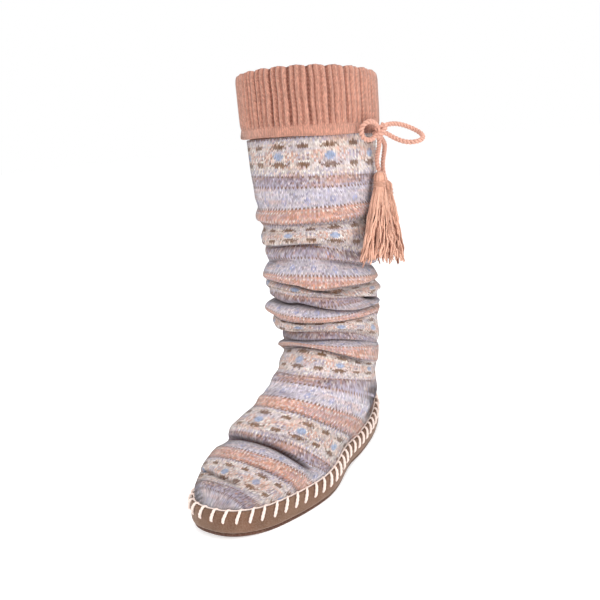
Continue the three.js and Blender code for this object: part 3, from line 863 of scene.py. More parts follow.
class SlipperSockYarns(bpy.types.PropertyGroup):
    cream: colour_setting("Cream", "Ground of the flower bands", "#f6ebe3")
    peach: colour_setting("Peach", "Lattice round the flowers", "#e0ae98")
    brown: colour_setting("Brown", "Dashes of the flowers and stripes", "#7d5632")
    blue: colour_setting("Blue", "Hearts of the flowers", "#a3b9dc")
    mauve: colour_setting("Mauve", "Marled band under the flowers", "#8f757d")
    lavender: colour_setting("Lavender", "Flecks of the pale bands", "#bdb4c9")
    pale: colour_setting("Pale", "Ground of the pale blue band", "#e4dfe8")
    periwinkle: colour_setting("Periwinkle", "Spots of the pale blue band", "#aab2dc")
    coral: colour_setting("Coral", "Ridge bands and heel", "#dc9e86")
    cuff: colour_setting("Cuff", "Ribbed cuff", "#d69a84")
    cord: colour_setting("Cord", "Twisted tie", "#d09a86")
    tassel: colour_setting("Tassel", "Tassels", "#dca68c")
    whip: colour_setting("Whip stitch", "Thick yarn round the sole", "#e2cfc5")


class SlipperSockSuede(bpy.types.PropertyGroup):
    wall: colour_setting("Cup", "Suede of the cup sole", "#6c5140")
    patch: colour_setting("Patches", "Redder patches in the suede", "#6e4735")
    under: colour_setting("Outsole", "Suede under the shoe", "#4c2f24")
    fleece: colour_setting("Footbed", "Fleece inside the shoe", "#d8cdbf")


class SlipperSockSizes(bpy.types.PropertyGroup):
    stitch_relief: size_setting("Stitch relief", "Height of a knit stitch", 0.0006, 0, 0.002)
    rib_depth: size_setting("Rib depth", "Depth of the cuff's ribs", 0.0017, 0, 0.004)
    whip_spacing: size_setting("Whip spacing", "Distance from leg to leg", 0.0097, 0.006, 0.02)
    whip_yarn: size_setting("Whip yarn", "Radius of the thick yarn", 0.00108, 0.0005, 0.003)
    tassel_strand: size_setting("Tassel strand", "Radius of one plied strand", 0.0006, 0.0003, 0.002)


# Charts: each letter is one stitch, and a pair of flowers repeats every twenty-four. The large
# flower's heart is in column 6 and the small one's in column 18.

FLOWER_BAND = [
    "lbmblbmblbmblbmblbmblbmb",
    "clclclclclclclclclclclcl",
    "cccclccccccclccclccccccl",
    "cccccbcbccccccccccbccccc",
    "cccbbbbbbbccccccbbbbbccc",
    "ccbcbbbbbcbcccccbbbbbccc",
    "cccccccccccccccccccccccc",
    "cpccccccccpccpcccccccccp",
    "pcpccuuucccpcpcclcmclccp",
    "ccpcuuuuucpccpcpmclcmcpc",
    "pcpcuuuuucpcpcpclcmclcpc",
    "ccpccuuucccpcpccmclcmccp",
    "cpccccccccpccpcccccccccp",
    "cbccbbbbbccbccccbbbbbccc",
    "ccbbbbbbbbbcccccbbbbbccc",
    "ccccbbcbbccccccccbcbcccc",
    "cccccccccccccccccccccccc",
    "cccclcccccclccclcccclccc",
    "clcccclccclccclccclccccc",
    "lclclclclclclclclclclclc",
]
MARL_BAND = [
    "bmbmmbmbmmbmbmmbmbmmbmbm",
    "mmmmmmmmmmmmmmmmmmmmmmmm",
    "mmlmmmmlmmmmmmlmmmmlmmmm",
    "mlmmmmlmmmlmmlmmmmlmmmml",
    "llmlllmllmllllmlllmllmll",
    "blblblblblblblblblblblbl",
]
PALE_BAND = [
    "xlxxlxxxxlxxxlxxlxxxxlxx",
    "xxlxvxxlxxxxxxlxxxxlxxxx",
    "lxxxxxxxxxlxlxxxxxvxxxlx",
    "xxxxlxxxxxxxxxxxlxxxxxxx",
    "xxlxxxvxxxxxxxlxxxvxxxxx",
    "lxxxxvxvxxxlxxxxxvvvxxxx",
    "xxlxxvvvxxxxxxlxxvxvxxxx",
    "xxxxxxvxxxlxxxxxxxvxxxlx",
    "xxxlxxxxxxxlxxxlxxxxxxxl",
    "bxbxbxbxbxbxbxbxbxbxbxbx",
]
RIDGE_BAND = [
    "oooooooooooooooooooooooo",
    "ococococococococococococ",
    "oopooooopooooopooooopooo",
    "oooooooooooooooooooooooo",
    "opoooopoooopoopoooopoooo",
    "ococococococococococococ",
    "oooooooooooooooooooooooo",
    "bomobomobomobomobomobomo",
]
REPEAT = [*FLOWER_BAND, *MARL_BAND, *PALE_BAND, *RIDGE_BAND]
HEART_COLUMN = 6
YARN_OF = {
    "c": "cream",
    "p": "peach",
    "b": "brown",
    "u": "blue",
    "m": "mauve",
    "l": "lavender",
    "x": "pale",
    "v": "periwinkle",
    "o": "coral",
}
# The cool yarns, what the warm and the cool yarns are marled with, and how far each one is.
COOL = "ulxv"
FLECKS = ("ccplxlmbc", "xxlxvlmcx")
MARL = {"c": 0.72, "p": 0.4, "b": 0.22, "u": 0.3, "m": 0.85, "l": 0.6, "x": 0.6, "v": 0.5, "o": 0.55}

HEEL_WEDGE_FROM = 66
HEEL_WEDGE_MIDDLE = 34
HEEL_WEDGE_RISE = 0.5
HEEL_WEDGE_FALL = 1.1


def heel_wedge(points):
    """Where the heel's own wedge of plain yarn lies, behind the ankle and above the sole."""
    y, z = points[..., 1], points[..., 2]
    behind = y - HEEL_WEDGE_FROM
    over = z - HEEL_WEDGE_MIDDLE
    return (behind > 0) & (over < HEEL_WEDGE_RISE * behind) & (over > -HEEL_WEDGE_FALL * behind)


DRIFT_TURNS = (2, 3, 5, 8)
DRIFT_SEED = 7
FLECK_SEED = 11
TINT_REACH = 0.75
LEG_SHADE = 0.34
STITCH_SHADE = 0.4


def drift_field(courses, wales):
    """A value about 0 that wanders slowly along each course and faster from one to the next."""
    random = np.random.default_rng(DRIFT_SEED)
    course = np.arange(courses)[:, None]
    wale = np.arange(wales)[None, :]
    total = np.zeros((courses, wales))
    for turns in DRIFT_TURNS:
        phase = 2 * np.pi * wale * turns / wales + random.random() * 6.3
        total += np.sin(phase + course * random.uniform(-0.5, 0.5) + 1.3 * np.sin(course * 0.37 * turns))
    return total / 3


def chart_colours(yarns, middles):
    """The colour of each leg of each stitch, from the charts, the heel and the marled yarn."""
    letters = list(YARN_OF)
    palette = np.array([getattr(yarns, YARN_OF[letter]) for letter in letters])
    marl = np.array([MARL[letter] for letter in letters])
    chart = np.array([[letters.index(letter) for letter in row] for row in REPEAT])
    course = np.arange(COURSES)[:, None]
    wale = np.arange(WALES)[None, :]
    drawn = chart[course % len(REPEAT), (wale + HEART_COLUMN) % chart.shape[1]]
    drawn = np.where(heel_wedge(middles), letters.index("o"), drawn)
    marled = marl[drawn][:, :, None, None]
    random = np.random.default_rng(FLECK_SEED)
    flecks = palette[[[letters.index(letter) for letter in kind] for kind in FLECKS]]
    cool = np.isin(drawn, [letters.index(letter) for letter in COOL])[:, :, None]
    fleck = flecks[cool.astype(int), random.integers(0, flecks.shape[1], (COURSES, WALES, 1))]
    strength = random.random((COURSES, WALES, 1, 1)) * marled
    colours = mix(palette[drawn][:, :, None, :], fleck, strength)
    warm = drift_field(COURSES, WALES)[..., None, None]
    tint = np.where(warm > 0, palette[letters.index("p")], palette[letters.index("l")])
    colours = mix(colours, tint, TINT_REACH * np.clip(np.abs(warm), 0, 1) * marled)
    shade = 1 + LEG_SHADE * (random.random((COURSES, WALES, 2, 1)) - 0.5)
    shade = shade + STITCH_SHADE * (random.random((COURSES, WALES, 1, 1)) - 0.5)
    return np.clip(colours * shade, 0, 1)


# The knitted foot and shaft

# The courses of each piece, counted from the cuff.
KNIT_PIECES = {"knit_shaft": (0, 94), "knit_ankle": (94, 201), "knit_foot": (201, COURSES)}
PER_WALE = 2
CHEVRON = 1.0
TURN_STEPS = 360
FULL_RELIEF_ROOM = 0.6
INNER_EVERY = 4 * PER_WALE
INNER_INSET = KNIT_WALL - 0.6
INNER_EVENED = 0.45
OUTSIDE_SHOWS_OVER = CUP_FLOOR + 3
INSIDE_SHOWS_OVER = CUP_FLOOR + 1
# Painted shade on the inside face and in the grooves between wales.
INNER_PAINTED_SHADE = 0.4
LEG_PAINTED_SHADE = 0.25
CREASE_SHADOW = 1.2
CREASE_DARKEST = 5
FOLD_SHADOW = 0.55
FOLD_DARKEST = 6
SHADOW_OVER_CUP = (4, 16)


def wale_turns(courses):
    """The turn of each half wale in each row, evenly along the loop from the toe's line."""
    count = WALES * PER_WALE
    turn = np.linspace(0, 2 * np.pi, TURN_STEPS + 1)
    loops = knit_surface(turn[None, :], (courses * COURSE)[:, None], 0.0, 0.0)
    steps = np.linalg.norm(np.diff(loops, axis=1), axis=-1)
    turns = np.zeros((len(courses), count))
    for i, step in enumerate(steps):
        outer, inner = step[: TURN_STEPS // 2], step[TURN_STEPS // 2 :]
        first = np.cumsum(outer) / outer.sum() / 2
        second = 0.5 + np.cumsum(inner) / inner.sum() / 2
        turns[i] = np.interp(np.arange(count) / count, np.concatenate([[0], first, second]), turn)
    return turns


def surface_normals(points):
    """Outward normals of a grid of points that is closed round its columns."""
    down = np.gradient(points, axis=0)
    across = np.roll(points, -1, axis=1) - np.roll(points, 1, axis=1)
    normal = np.cross(down, across)
    return normal / np.maximum(np.linalg.norm(normal, axis=-1, keepdims=True), 1e-9)


def rim_faces(rows, count, inner_count, points):
    """Faces that join the outer and inner surfaces along the first and the last row."""
    start = rows * count
    faces = []
    for row, flip in ((0, False), (rows - 1, True)):
        for k in range(inner_count):
            upper = [row * count + (k * INNER_EVERY + j) % count for j in range(INNER_EVERY + 1)]
            lower = start + row * inner_count
            face = [*upper, lower + (k + 1) % inner_count, lower + k]
            if points[face][:, 2].min() > OUTSIDE_SHOWS_OVER:
                faces.append(face[::-1] if flip else face)
    return faces


def knit_piece(name, first, last, colours, turns, material, relief):
    """Courses of V stitches, with a plain inner face and a rim or the toe's end between the two."""
    count = WALES * PER_WALE
    rows = np.arange(first, last + 1)
    half = np.arange(count) % PER_WALE
    knit = np.clip(rows[:, None] + CHEVRON * (half - 0.5)[None, :], 0, COURSES) * COURSE
    turn = turns[rows] - np.pi / WALES
    base = knit_surface(turn, knit)
    room = np.linalg.norm(np.roll(base, -1, axis=1) - base, axis=-1)
    raised = relief / MM * np.clip(room / FULL_RELIEF_ROOM, 0, 1) * (half - 0.5)[None, :]
    outer = base + surface_normals(base) * raised[..., None]
    inner = knit_surface(turn[:, ::INNER_EVERY], (rows * COURSE)[:, None], INNER_INSET)
    inner_count = inner.shape[1]
    points = np.vstack([outer.reshape(-1, 3), inner.reshape(-1, 3)])
    start = len(rows) * count
    outer_faces = grid_faces(len(rows), count)
    inner_faces = grid_faces(len(rows), inner_count)[:, ::-1] + start
    yarn = colours[first:last].reshape(-1, 3)
    inner_yarn = colours[first:last, :: INNER_EVERY // PER_WALE].mean(axis=2).reshape(-1, 3)
    inner_yarn = mix(inner_yarn, inner_yarn.mean(axis=0), INNER_EVENED)
    shown = points[outer_faces][..., 2].max(axis=1) > OUTSIDE_SHOWS_OVER
    inner_shown = points[inner_faces][..., 2].max(axis=1) > INSIDE_SHOWS_OVER
    if last == COURSES:
        end = (len(rows) - 1) * count
        points = np.vstack([points, points[end : end + count].mean(axis=0)])
        rims = [[end + k, len(points) - 1, end + (k + 1) % count] for k in range(count)]
    else:
        rims = rim_faces(len(rows), count, inner_count, points)
    rim_yarn = np.tile(inner_yarn.mean(axis=0), (len(rims), 1))
    faces = outer_faces[shown].tolist() + inner_faces[inner_shown].tolist() + rims
    all_yarn = np.vstack([yarn[shown], inner_yarn[inner_shown], rim_yarn])
    # Painted shade: even on the inside face; outside, in the grooves between wales, and painted shadow
    # in the creases and the folds' hollows, fading out towards the cup.
    painted_shade = np.full(len(points), INNER_PAINTED_SHADE)
    in_crease = np.clip(-creases(turn, knit)[0] / CREASE_DARKEST, 0, 1)
    in_fold = np.clip(-soft_folds(turn, knit)[0] / FOLD_DARKEST, 0, 1)
    above = ease(*SHADOW_OVER_CUP, base[..., 2] - cup_edge(base[..., 1]))
    shadow = (CREASE_SHADOW * in_crease + FOLD_SHADOW * in_fold) * above
    painted_shade[:start] = (LEG_PAINTED_SHADE * (1 - half)[None, :] + shadow).ravel()
    keep, faces = used_points(points, faces)
    legs = int(shown.sum())
    nodes = ["knit_upper"]
    make_piece(name, points[keep], faces, material, nodes, all_yarn, painted_shade[keep], legs)


def used_points(points, faces):
    """The points that faces use, and the faces numbered by them."""
    flat = np.concatenate([np.asarray(face) for face in faces])
    keep = np.unique(flat)
    number = np.zeros(len(points), int)
    number[keep] = np.arange(len(keep))
    return keep, [number[face].tolist() for face in faces]


class SLIPPERSOCK_OT_knit(bpy.types.Operator):
    """Knit the foot and the slouched shaft"""

    bl_idname = "slipper_sock.knit"
    bl_label = "Knitted Foot and Shaft"

    def execute(self, context):
        settings = context.scene
        turns = wale_turns(np.arange(COURSES + 1))
        middle_knit = (np.arange(COURSES) + 0.5) * COURSE
        middles = knit_surface(turns[:-1, ::PER_WALE], middle_knit[:, None], 0.0, 0.0)
        colours = chart_colours(settings.slipper_sock_yarns, middles)
        material = yarn_material("Fair isle knit", None, 0.6, 0.12, knitted=0.62)
        relief = settings.slipper_sock_sizes.stitch_relief
        for name, (first, last) in KNIT_PIECES.items():
            knit_piece(name, first, last, colours, turns, material, relief)
        return {"FINISHED"}


# The ribbed cuff

CUFF_ROWS = 84
CUFF_STEPS = 42
# How far each half wale of a repeat stands out: three ribs with grooves of three depths.
RIB_PROFILE = np.array(
    [-0.6, -1, -0.5, 0.3, 0.2, -0.4, -0.7, -0.2, 0.35, 0.3, -0.2, -0.55, -0.2, 0.3, 0.45, 0.1]
)

CUFF_LEAN = Table(
    ["level", *QUARTERS],
    [
        [0, 2.2, 0.4, -2.2, 0],
        [1, 2, 1.6, -5, -2.5],
    ],
)
# The band's section by steps: round its hem, up the outside, over the fold and down inside. Level is
# 0 at the hem and 1 at the top, and offset is added to that height.
CUFF_SECTION = Table(
    ["step", "radius", "level", "offset"],
    [
        [0, 56.2, 0, 1.2],
        [1, 57.0, 0, 0],
        [2, 59.2, 0, -0.3],
        [3, 59.9, 0, 1.4],
        [4, 59.3, 0, 4.6],
        [5, 58.6, 0, 7.4],
        [12, 58.9, 0.5, 0],
        [20, 58.9, 1, -6],
        [21.5, 58.3, 1, -2.2],
        [23, 56.9, 1, -0.3],
        [24.5, 55.2, 1, -0.6],
        [26, 54.0, 1, -3],
        [27, 53.5, 1, -7],
        [34, 53.1, 0.5, -4],
        [42, 52.2, 0, -2.6],
    ],
)
# Steps of the section between which the ribs rise and die away.
RIBS_START = (4.6, 7.5)
RIBS_END = (34, 40.5)
RIBS_UNEVEN = 0.45
RIBS_DEEPEST = math.radians(-30)
RIBS_WANDER = 0.25
OUTSIDE_ENDS = 22
TOP_EDGE = 23.5
INSIDE_STARTS = 24
SCALLOP = 1.5
HEM_WAVE = 0.5
CUFF_SEED = 5
CUFF_TONE = 0.44
# Painted shade in the grooves between wales and in the gather's dent, and the most that the cuff's
# painted shade may reach.
CUFF_LEG_PAINTED_SHADE = 0.3
DENT_PAINTED_SHADE = 1.6
DARKEST_PAINTED_SHADE = 1.7
GATHER_TURN = math.radians(79)
GATHER_HEIGHT = 284.5
GATHER_REACH = 5.2
GATHER_DENT = 2.6
PUCKER_FOLDS = 5
PUCKER_OUT = 8
PUCKER_HIGH = 0.5


def beside(turn, radius, height):
    """Points beside the shaft, turned from the toe towards the outer side, in degrees."""
    turn = np.radians(turn)
    x, y = radius * np.sin(turn), SHAFT_CENTRE - radius * np.cos(turn)
    return np.stack(np.broadcast_arrays(x, y, height), -1)


def cuff_surface(turn, step):
    """The ribbed band's middle line, up from its hem, over the fold and down inside."""
    radius = CUFF_SECTION("radius", step)
    level = CUFF_SECTION("level", step)
    lean = round_tube(CUFF_LEAN, np.zeros_like(level), turn) * (1 - level)
    lean = lean + round_tube(CUFF_LEAN, np.ones_like(level), turn) * level
    height = mix(CUFF_HEM, CUFF_TOP, level) + lean + CUFF_SECTION("offset", step)
    return radius, height


class SLIPPERSOCK_OT_cuff(bpy.types.Operator):
    """Make the ribbed cuff, turned down over the top of the shaft"""

    bl_idname = "slipper_sock.cuff"
    bl_label = "Ribbed Cuff"

    def execute(self, context):
        settings = context.scene
        sizes = settings.slipper_sock_sizes
        count = WALES * PER_WALE
        column = np.arange(count)
        half = column % PER_WALE
        step = np.linspace(0, CUFF_STEPS, CUFF_ROWS)
        turn = 2 * np.pi * column / count
        degrees = np.degrees(turn)
        shift = CHEVRON * (half - 0.5) * (step[1] - step[0])
        steps = np.clip(step[:, None] + shift[None, :], 0, CUFF_STEPS)
        radius, height = cuff_surface(turn[None, :], steps)
        in_rib = column % len(RIB_PROFILE)
        profile = RIB_PROFILE[in_rib]
        uneven = 1 + RIBS_UNEVEN * np.cos(turn - RIBS_DEEPEST)
        band = ease(*RIBS_START, step) * (1 - ease(*RIBS_END, step))
        rib = column // len(RIB_PROFILE)
        wander = RIBS_WANDER * np.sin(step[:, None] * 0.6 + rib[None, :] * 1.9)
        side = np.where(step < INSIDE_STARTS, 1, -1)[:, None]
        relief = profile[None, :] * uneven[None, :] * sizes.rib_depth / MM * band[:, None]
        radius = radius + side * (relief + sizes.stitch_relief / MM * (half - 0.5)[None, :])
        scallop = np.sin(np.pi * in_rib / len(RIB_PROFILE)) ** 0.8 - 0.6
        height = height + SCALLOP * scallop[None, :] * bell(step - TOP_EDGE, 3.4)[:, None]
        height = height + HEM_WAVE * np.sin(degrees / 9)[None, :] * bell(step, 3)[:, None]
        across = (turn - GATHER_TURN)[None, :] * CUFF_RADIUS
        from_gather = np.hypot(across, (height - GATHER_HEIGHT) * 0.8)
        outside = (step < OUTSIDE_ENDS)[:, None]
        dent = bell(from_gather, GATHER_REACH) * outside
        round_gather = np.arctan2(height - GATHER_HEIGHT, across)
        pucker = np.cos(PUCKER_FOLDS * round_gather) * bell(from_gather - PUCKER_OUT, 4)
        radius = radius - GATHER_DENT * dent + PUCKER_HIGH * pucker * outside
        points = beside((degrees + np.zeros_like(radius)) + wander * band[:, None], radius, height)
        # Painted shade: in the rib grooves, heavier on every other row as dots, in the grooves between
        # wales and in the gather's dent.
        deep = np.clip(-profile, 0, 1)[None, :] * uneven[None, :] * band[:, None]
        dotted_shade = 0.7 + 0.6 * (np.arange(CUFF_ROWS) % 2)[:, None]
        shade = CUFF_LEG_PAINTED_SHADE * (1 - half)[None, :] + dotted_shade * deep + DENT_PAINTED_SHADE * dent
        painted_shade = np.clip(shade, 0, DARKEST_PAINTED_SHADE)
        random = np.random.default_rng(CUFF_SEED)
        tone = 1 + CUFF_TONE * (random.random((CUFF_ROWS - 1, count, 1)) - 0.5)
        yarn = np.clip(np.array(settings.slipper_sock_yarns.cuff) * tone, 0, 1).reshape(-1, 3)
        material = yarn_material("Rib knit", None, 0.6, 0.12, knitted=0.6)
        faces = grid_faces(CUFF_ROWS, count)[:, ::-1]
        points = points.reshape(-1, 3)
        nodes = ["rib_cuff"]
        make_piece("ribbed_cuff", points, faces, material, nodes, yarn, painted_shade, len(faces))
        return {"FINISHED"}


# The suede sole


def sole_loft(rows, sides):
    """Points of loops along the sole's outline: each row is (inset, height, share of the edge)."""
    share = np.arange(sides) / sides
    loops = []
    for inset, height, of_edge in rows:
        place = outline(share, inset)
        y = place[:, 1]
        z = height + of_edge * cup_edge(y) + lift(y)
        loops.append(np.column_stack([place, z]))
    return np.array(loops)


CUP_ROWS = [
    (4.0, 3.4, 0),
    (1.7, 3.4, 0),
    (0.9, 3.6, 0),
    (0.35, 4.3, 0),
    (0.05, 5.6, 0),
    (0.0, 7.5, 0),
    (0.0, 10.0, 0),
    (0.05, 12.5, 0),
    (0.35, -5.2, 1),
    (0.7, -3.2, 1),
    (1.0, -1.6, 1),
    (1.3, -0.6, 1),
    (1.8, -0.1, 1),
    (2.5, 0.0, 1),
    (3.1, -0.2, 1),
    (3.5, -0.9, 1),
    (3.7, -3.0, 1),
    (3.8, 10.0, 0),
]
OUTSOLE_ROWS = [
    (8.0, 0.0, 0),
    (2.7, 0.0, 0),
    (2.2, 0.12, 0),
    (1.75, 0.6, 0),
    (1.6, 1.3, 0),
    (1.65, 2.2, 0),
    (1.95, 2.8, 0),
    (2.6, 3.05, 0),
]
FOOTBED_ROWS = [
    (8.9, 8.4, 0),
    (8.9, 10.6, 0),
    (9.2, 11.3, 0),
    (10.0, 11.8, 0),
    (12.0, 12.0, 0),
]


def whip_places(spacing):
    """The shares of the outline at which the whip stitch's legs start, evenly along it."""
    share = np.linspace(0, 1, 1441)
    path = outline(share, CUP_TOP_INSET)
    along = length_along(path)
    count = round(along[-1] / (spacing / MM))
    return np.interp(np.arange(count) / count * along[-1], along, share), share, along


CUP_SIDES = 480
SHEET_SIDES = 240
# How the whip stitches pull the cup in: beside each one, under the edge and at the edge.
PULL_AHEAD = 2
PULL_WIDTH = 2.4
PULL_UNDER_EDGE = 0.55
PULL_AT_EDGE = 0.3
PULL_DOWN = 0.35


def cup_loops(whip_spacing):
    """The cup's loops, pulled in and down a little under each whip stitch."""
    loops = sole_loft(CUP_ROWS, CUP_SIDES)
    places, share, along = whip_places(whip_spacing)
    here = np.interp(np.arange(CUP_SIDES) / CUP_SIDES, share, along)
    legs = np.interp(places, share, along)
    apart = np.abs(here[:, None] - legs[None, :] - PULL_AHEAD)
    pull = bell(np.minimum(apart, along[-1] - apart).min(axis=1), PULL_WIDTH)
    inward = loops.mean(axis=1, keepdims=True) - loops
    inward[..., 2] = 0
    inward /= np.linalg.norm(inward, axis=-1, keepdims=True)
    from_edge = np.array([height + (of_edge - 1) * 20 for _, height, of_edge in CUP_ROWS])
    amount = PULL_UNDER_EDGE * bell(from_edge + 8.5, 3.4) + PULL_AT_EDGE * bell(from_edge + 0.5, 2)
    loops += inward * (amount[:, None] * (pull - 0.35)[None, :])[..., None]
    loops[..., 2] -= PULL_DOWN * bell(from_edge, 1.6)[:, None] * pull[None, :]
    return loops


def sheet_piece(name, node, rows, material):
    """A flat piece of the sole, closed below and above."""
    loops = sole_loft(rows, SHEET_SIDES)
    faces = grid_faces(len(loops), SHEET_SIDES).tolist() + lid_faces(SHEET_SIDES, 0, True)
    faces += lid_faces(SHEET_SIDES, (len(loops) - 1) * SHEET_SIDES, False)
    make_piece(name, loops.reshape(-1, 3), faces, material, [node])


def sole_points(share, inset, height):
    """Points at shares of the outline, an inset from it and a height over the cup's edge."""
    place = outline(share, inset)
    y = place[..., 1]
    return np.column_stack([place, height + cup_edge(y) + lift(y)])


class SLIPPERSOCK_OT_sole(bpy.types.Operator):
    """Make the suede cup, the outsole under it and the footbed inside"""

    bl_idname = "slipper_sock.sole"
    bl_label = "Suede Sole"

    def execute(self, context):
        settings = context.scene
        suede = settings.slipper_sock_suede
        wall, patch = tuple(suede.wall), tuple(suede.patch)
        under, fleece = tuple(suede.under), tuple(suede.fleece)
        loops = cup_loops(settings.slipper_sock_sizes.whip_spacing)
        faces = grid_faces(len(loops), CUP_SIDES).tolist() + lid_faces(CUP_SIDES, 0, True)
        material = nap_material("Suede", wall, patch, 0.55, 1100, 0.0004, 0.35)
        make_piece("suede_cup_sole", loops.reshape(-1, 3), faces, material, ["suede_cup"])
        material = nap_material("Outsole suede", under, patch, 0.4, 700, 0.0005, 0.25)
        sheet_piece("outsole_sheet", "outsole", OUTSOLE_ROWS, material)
        material = nap_material("Fleece", fleece, fleece, 0.2, 500, 0.0012, 0.4)
        sheet_piece("fleece_footbed", "insole", FOOTBED_ROWS, material)
        return {"FINISHED"}


# One leg of the whip stitch, from inside the knit over the edge and down into the suede.
WHIP_LEG = Table(
    ["share", "ahead", "inset", "height", "radius"],
    [
        [0, -0.6, 4.4, 0.2, 0.55],
        [1, 0.0, 3.0, 1.1, 0.8],
        [2, 0.5, 1.2, 0.9, 0.92],
        [3, 1.2, -0.25, -1.2, 1.02],
        [4, 2.2, -0.75, -3.6, 1.08],
        [5, 3.1, -0.85, -6.2, 1.1],
        [6, 3.7, -0.1, -8.2, 0.95],
        [7, 3.9, 1.2, -8.9, 0.7],
    ],
)
# The strand that runs along the knit between the legs: how far it is on, its inset and its height.
WHIP_EDGE = ((0, 3.0, 0.9), (0.35, 3.8, 0.2), (0.7, 3.7, 0.2))
WHIP_SEED = 21
WHIP_LEAN = 0.18
WHIP_SLIP = 0.7
WHIP_EDGE_THICKNESS = 0.55


class SLIPPERSOCK_OT_whip_stitch(bpy.types.Operator):
    """Whip the knit to the cup's edge with thick yarn"""

    bl_idname = "slipper_sock.whip_stitch"
    bl_label = "Whip Stitching"

    def execute(self, context):
        settings = context.scene
        sizes = settings.slipper_sock_sizes
        radius = sizes.whip_yarn / MM
        places, share, along = whip_places(sizes.whip_spacing)
        total = along[-1]
        starts = np.interp(places, share, along)
        random = np.random.default_rng(WHIP_SEED)
        pile = Pile()

        def at(distance, inset, height):
            where = np.interp(np.mod(distance, total), along, share)
            return sole_points(np.atleast_1d(where), inset, height)[0]

        thickness = WHIP_LEG.columns["radius"]
        for start in starts:
            lean = 1 + WHIP_LEAN * (random.random() - 0.5)
            slip = WHIP_SLIP * (random.random() - 0.5)
            from_start = [start + slip + row["ahead"] * lean for row in WHIP_LEG.rows]
            knots = [at(on, row["inset"], row["height"]) for on, row in zip(from_start, WHIP_LEG.rows)]
            path = smooth_path(knots, 0.55)
            where = np.linspace(0, len(thickness) - 1, len(path))
            width = radius * np.interp(where, WHIP_LEG.columns["share"], thickness)
            pile.tube(path, width, 10, lobes=0.13, twist=1.1)
        gap = total / len(starts)
        edge = []
        for start in starts:
            edge += [at(start + gap * on, inset, height) for on, inset, height in WHIP_EDGE]
        edge.append(edge[0])
        pile.tube(smooth_path(edge, 0.7), WHIP_EDGE_THICKNESS * radius, 8, lobes=0.15, twist=1.4)
        material = yarn_material("Whip yarn", tuple(settings.slipper_sock_yarns.whip), 0.3, 0.12, 0.3)
        pile.mesh("whip_stitching", material, "cord_yarn")
        return {"FINISHED"}


# The tie: routes beside the shaft as turn, radius and height, in degrees and metres

LOOP_LONG = [
    (88, 0.0655, 0.284),
    (91.5, 0.0666, 0.2856),
    (95, 0.068, 0.2866),
    (99, 0.0715, 0.2872),
    (102.5, 0.076, 0.2866),
    (105.4, 0.0815, 0.2846),
    (106.9, 0.0875, 0.2816),
    (106, 0.0928, 0.2782),
    (102.6, 0.0956, 0.275),
    (98.6, 0.0948, 0.2726),
    (95.7, 0.0904, 0.2716),
    (94.4, 0.0846, 0.2722),
    (94, 0.0788, 0.2742),
    (93.6, 0.0736, 0.277),
    (92, 0.0694, 0.28),
    (88, 0.0662, 0.282),
]
LOOP_SHORT = [
    (86, 0.066, 0.2846),
    (83, 0.0666, 0.2864),
    (80.2, 0.0672, 0.2884),
    (76.8, 0.0674, 0.29),
    (73.2, 0.0668, 0.2902),
    (70.2, 0.0656, 0.2886),
    (68.6, 0.0646, 0.2856),
    (68.4, 0.0642, 0.282),
    (69.6, 0.0642, 0.2788),
    (72.4, 0.0646, 0.2768),
    (76, 0.0652, 0.2764),
    (79.4, 0.0658, 0.2776),
    (82.4, 0.066, 0.2798),
    (86, 0.066, 0.282),
]
END_FRONT = [
    (86, 0.065, 0.281),
    (86.4, 0.0652, 0.278),
    (87.4, 0.065, 0.2748),
    (89.2, 0.0638, 0.2714),
    (91.6, 0.0618, 0.2678),
    (93.8, 0.0598, 0.2638),
    (94.6, 0.0588, 0.2594),
    (94.7, 0.059, 0.255),
    (94.4, 0.0602, 0.2508),
    (94.3, 0.0608, 0.248),
]
END_BACK = [
    (89, 0.0646, 0.2796),
    (92.4, 0.0648, 0.2762),
    (96.2, 0.065, 0.2732),
    (100, 0.0644, 0.2704),
    (103.4, 0.0632, 0.267),
    (106.2, 0.062, 0.263),
    (108.2, 0.0608, 0.258),
    (109.6, 0.0602, 0.2526),
    (110.3, 0.0606, 0.247),
    (110.5, 0.0616, 0.2422),
    (110.5, 0.062, 0.239),
]
KNOT_TURN = 87.0
KNOT_HEIGHT = 283.0
KNOT_DEEP = 5.2
KNOT_SNUG = 0.98
# The strand across the knot's front: along it, up and out from its middle.
KNOT_BAR = [(-5.5, -4.4, 1.0), (-3, -1.6, 4.2), (0, 0.4, 5.4), (3, 2.4, 4.4), (5.6, 4.4, 1.0)]
ROUTE_STEP = 0.45
PLIES = 2
PLY_PITCH = 6.0
PLY_REACH = 0.185
PLY_RADIUS = 0.28
UP = np.array([0, 0, 1.0])


def route(rows):
    """The smooth middle line of a cord, in millimetres."""
    turn, radius, height = np.array(rows).T
    return smooth_path(beside(turn, radius / MM, height / MM), ROUTE_STEP)


def twisted(pile, path, diameter):
    """Plies of yarn laid round each other along a path."""
    side, up = frames(path)
    spin = 2 * np.pi * length_along(path) / PLY_PITCH
    reach = diameter * PLY_REACH
    for ply in range(PLIES):
        turn = spin + 2 * np.pi * ply / PLIES
        strand = path + reach * (side * np.cos(turn)[:, None] + up * np.sin(turn)[:, None])
        pile.tube(strand, diameter * PLY_RADIUS, 10, lobes=0.08, twist=2.4, around=path)


def cord_piece(name, rows, material, node):
    """A twisted cord along a route, and its middle line."""
    pile = Pile()
    path = route(rows)
    twisted(pile, path, CORD_DIAMETER)
    return pile.mesh(name, material, "cord_yarn", [node]), path


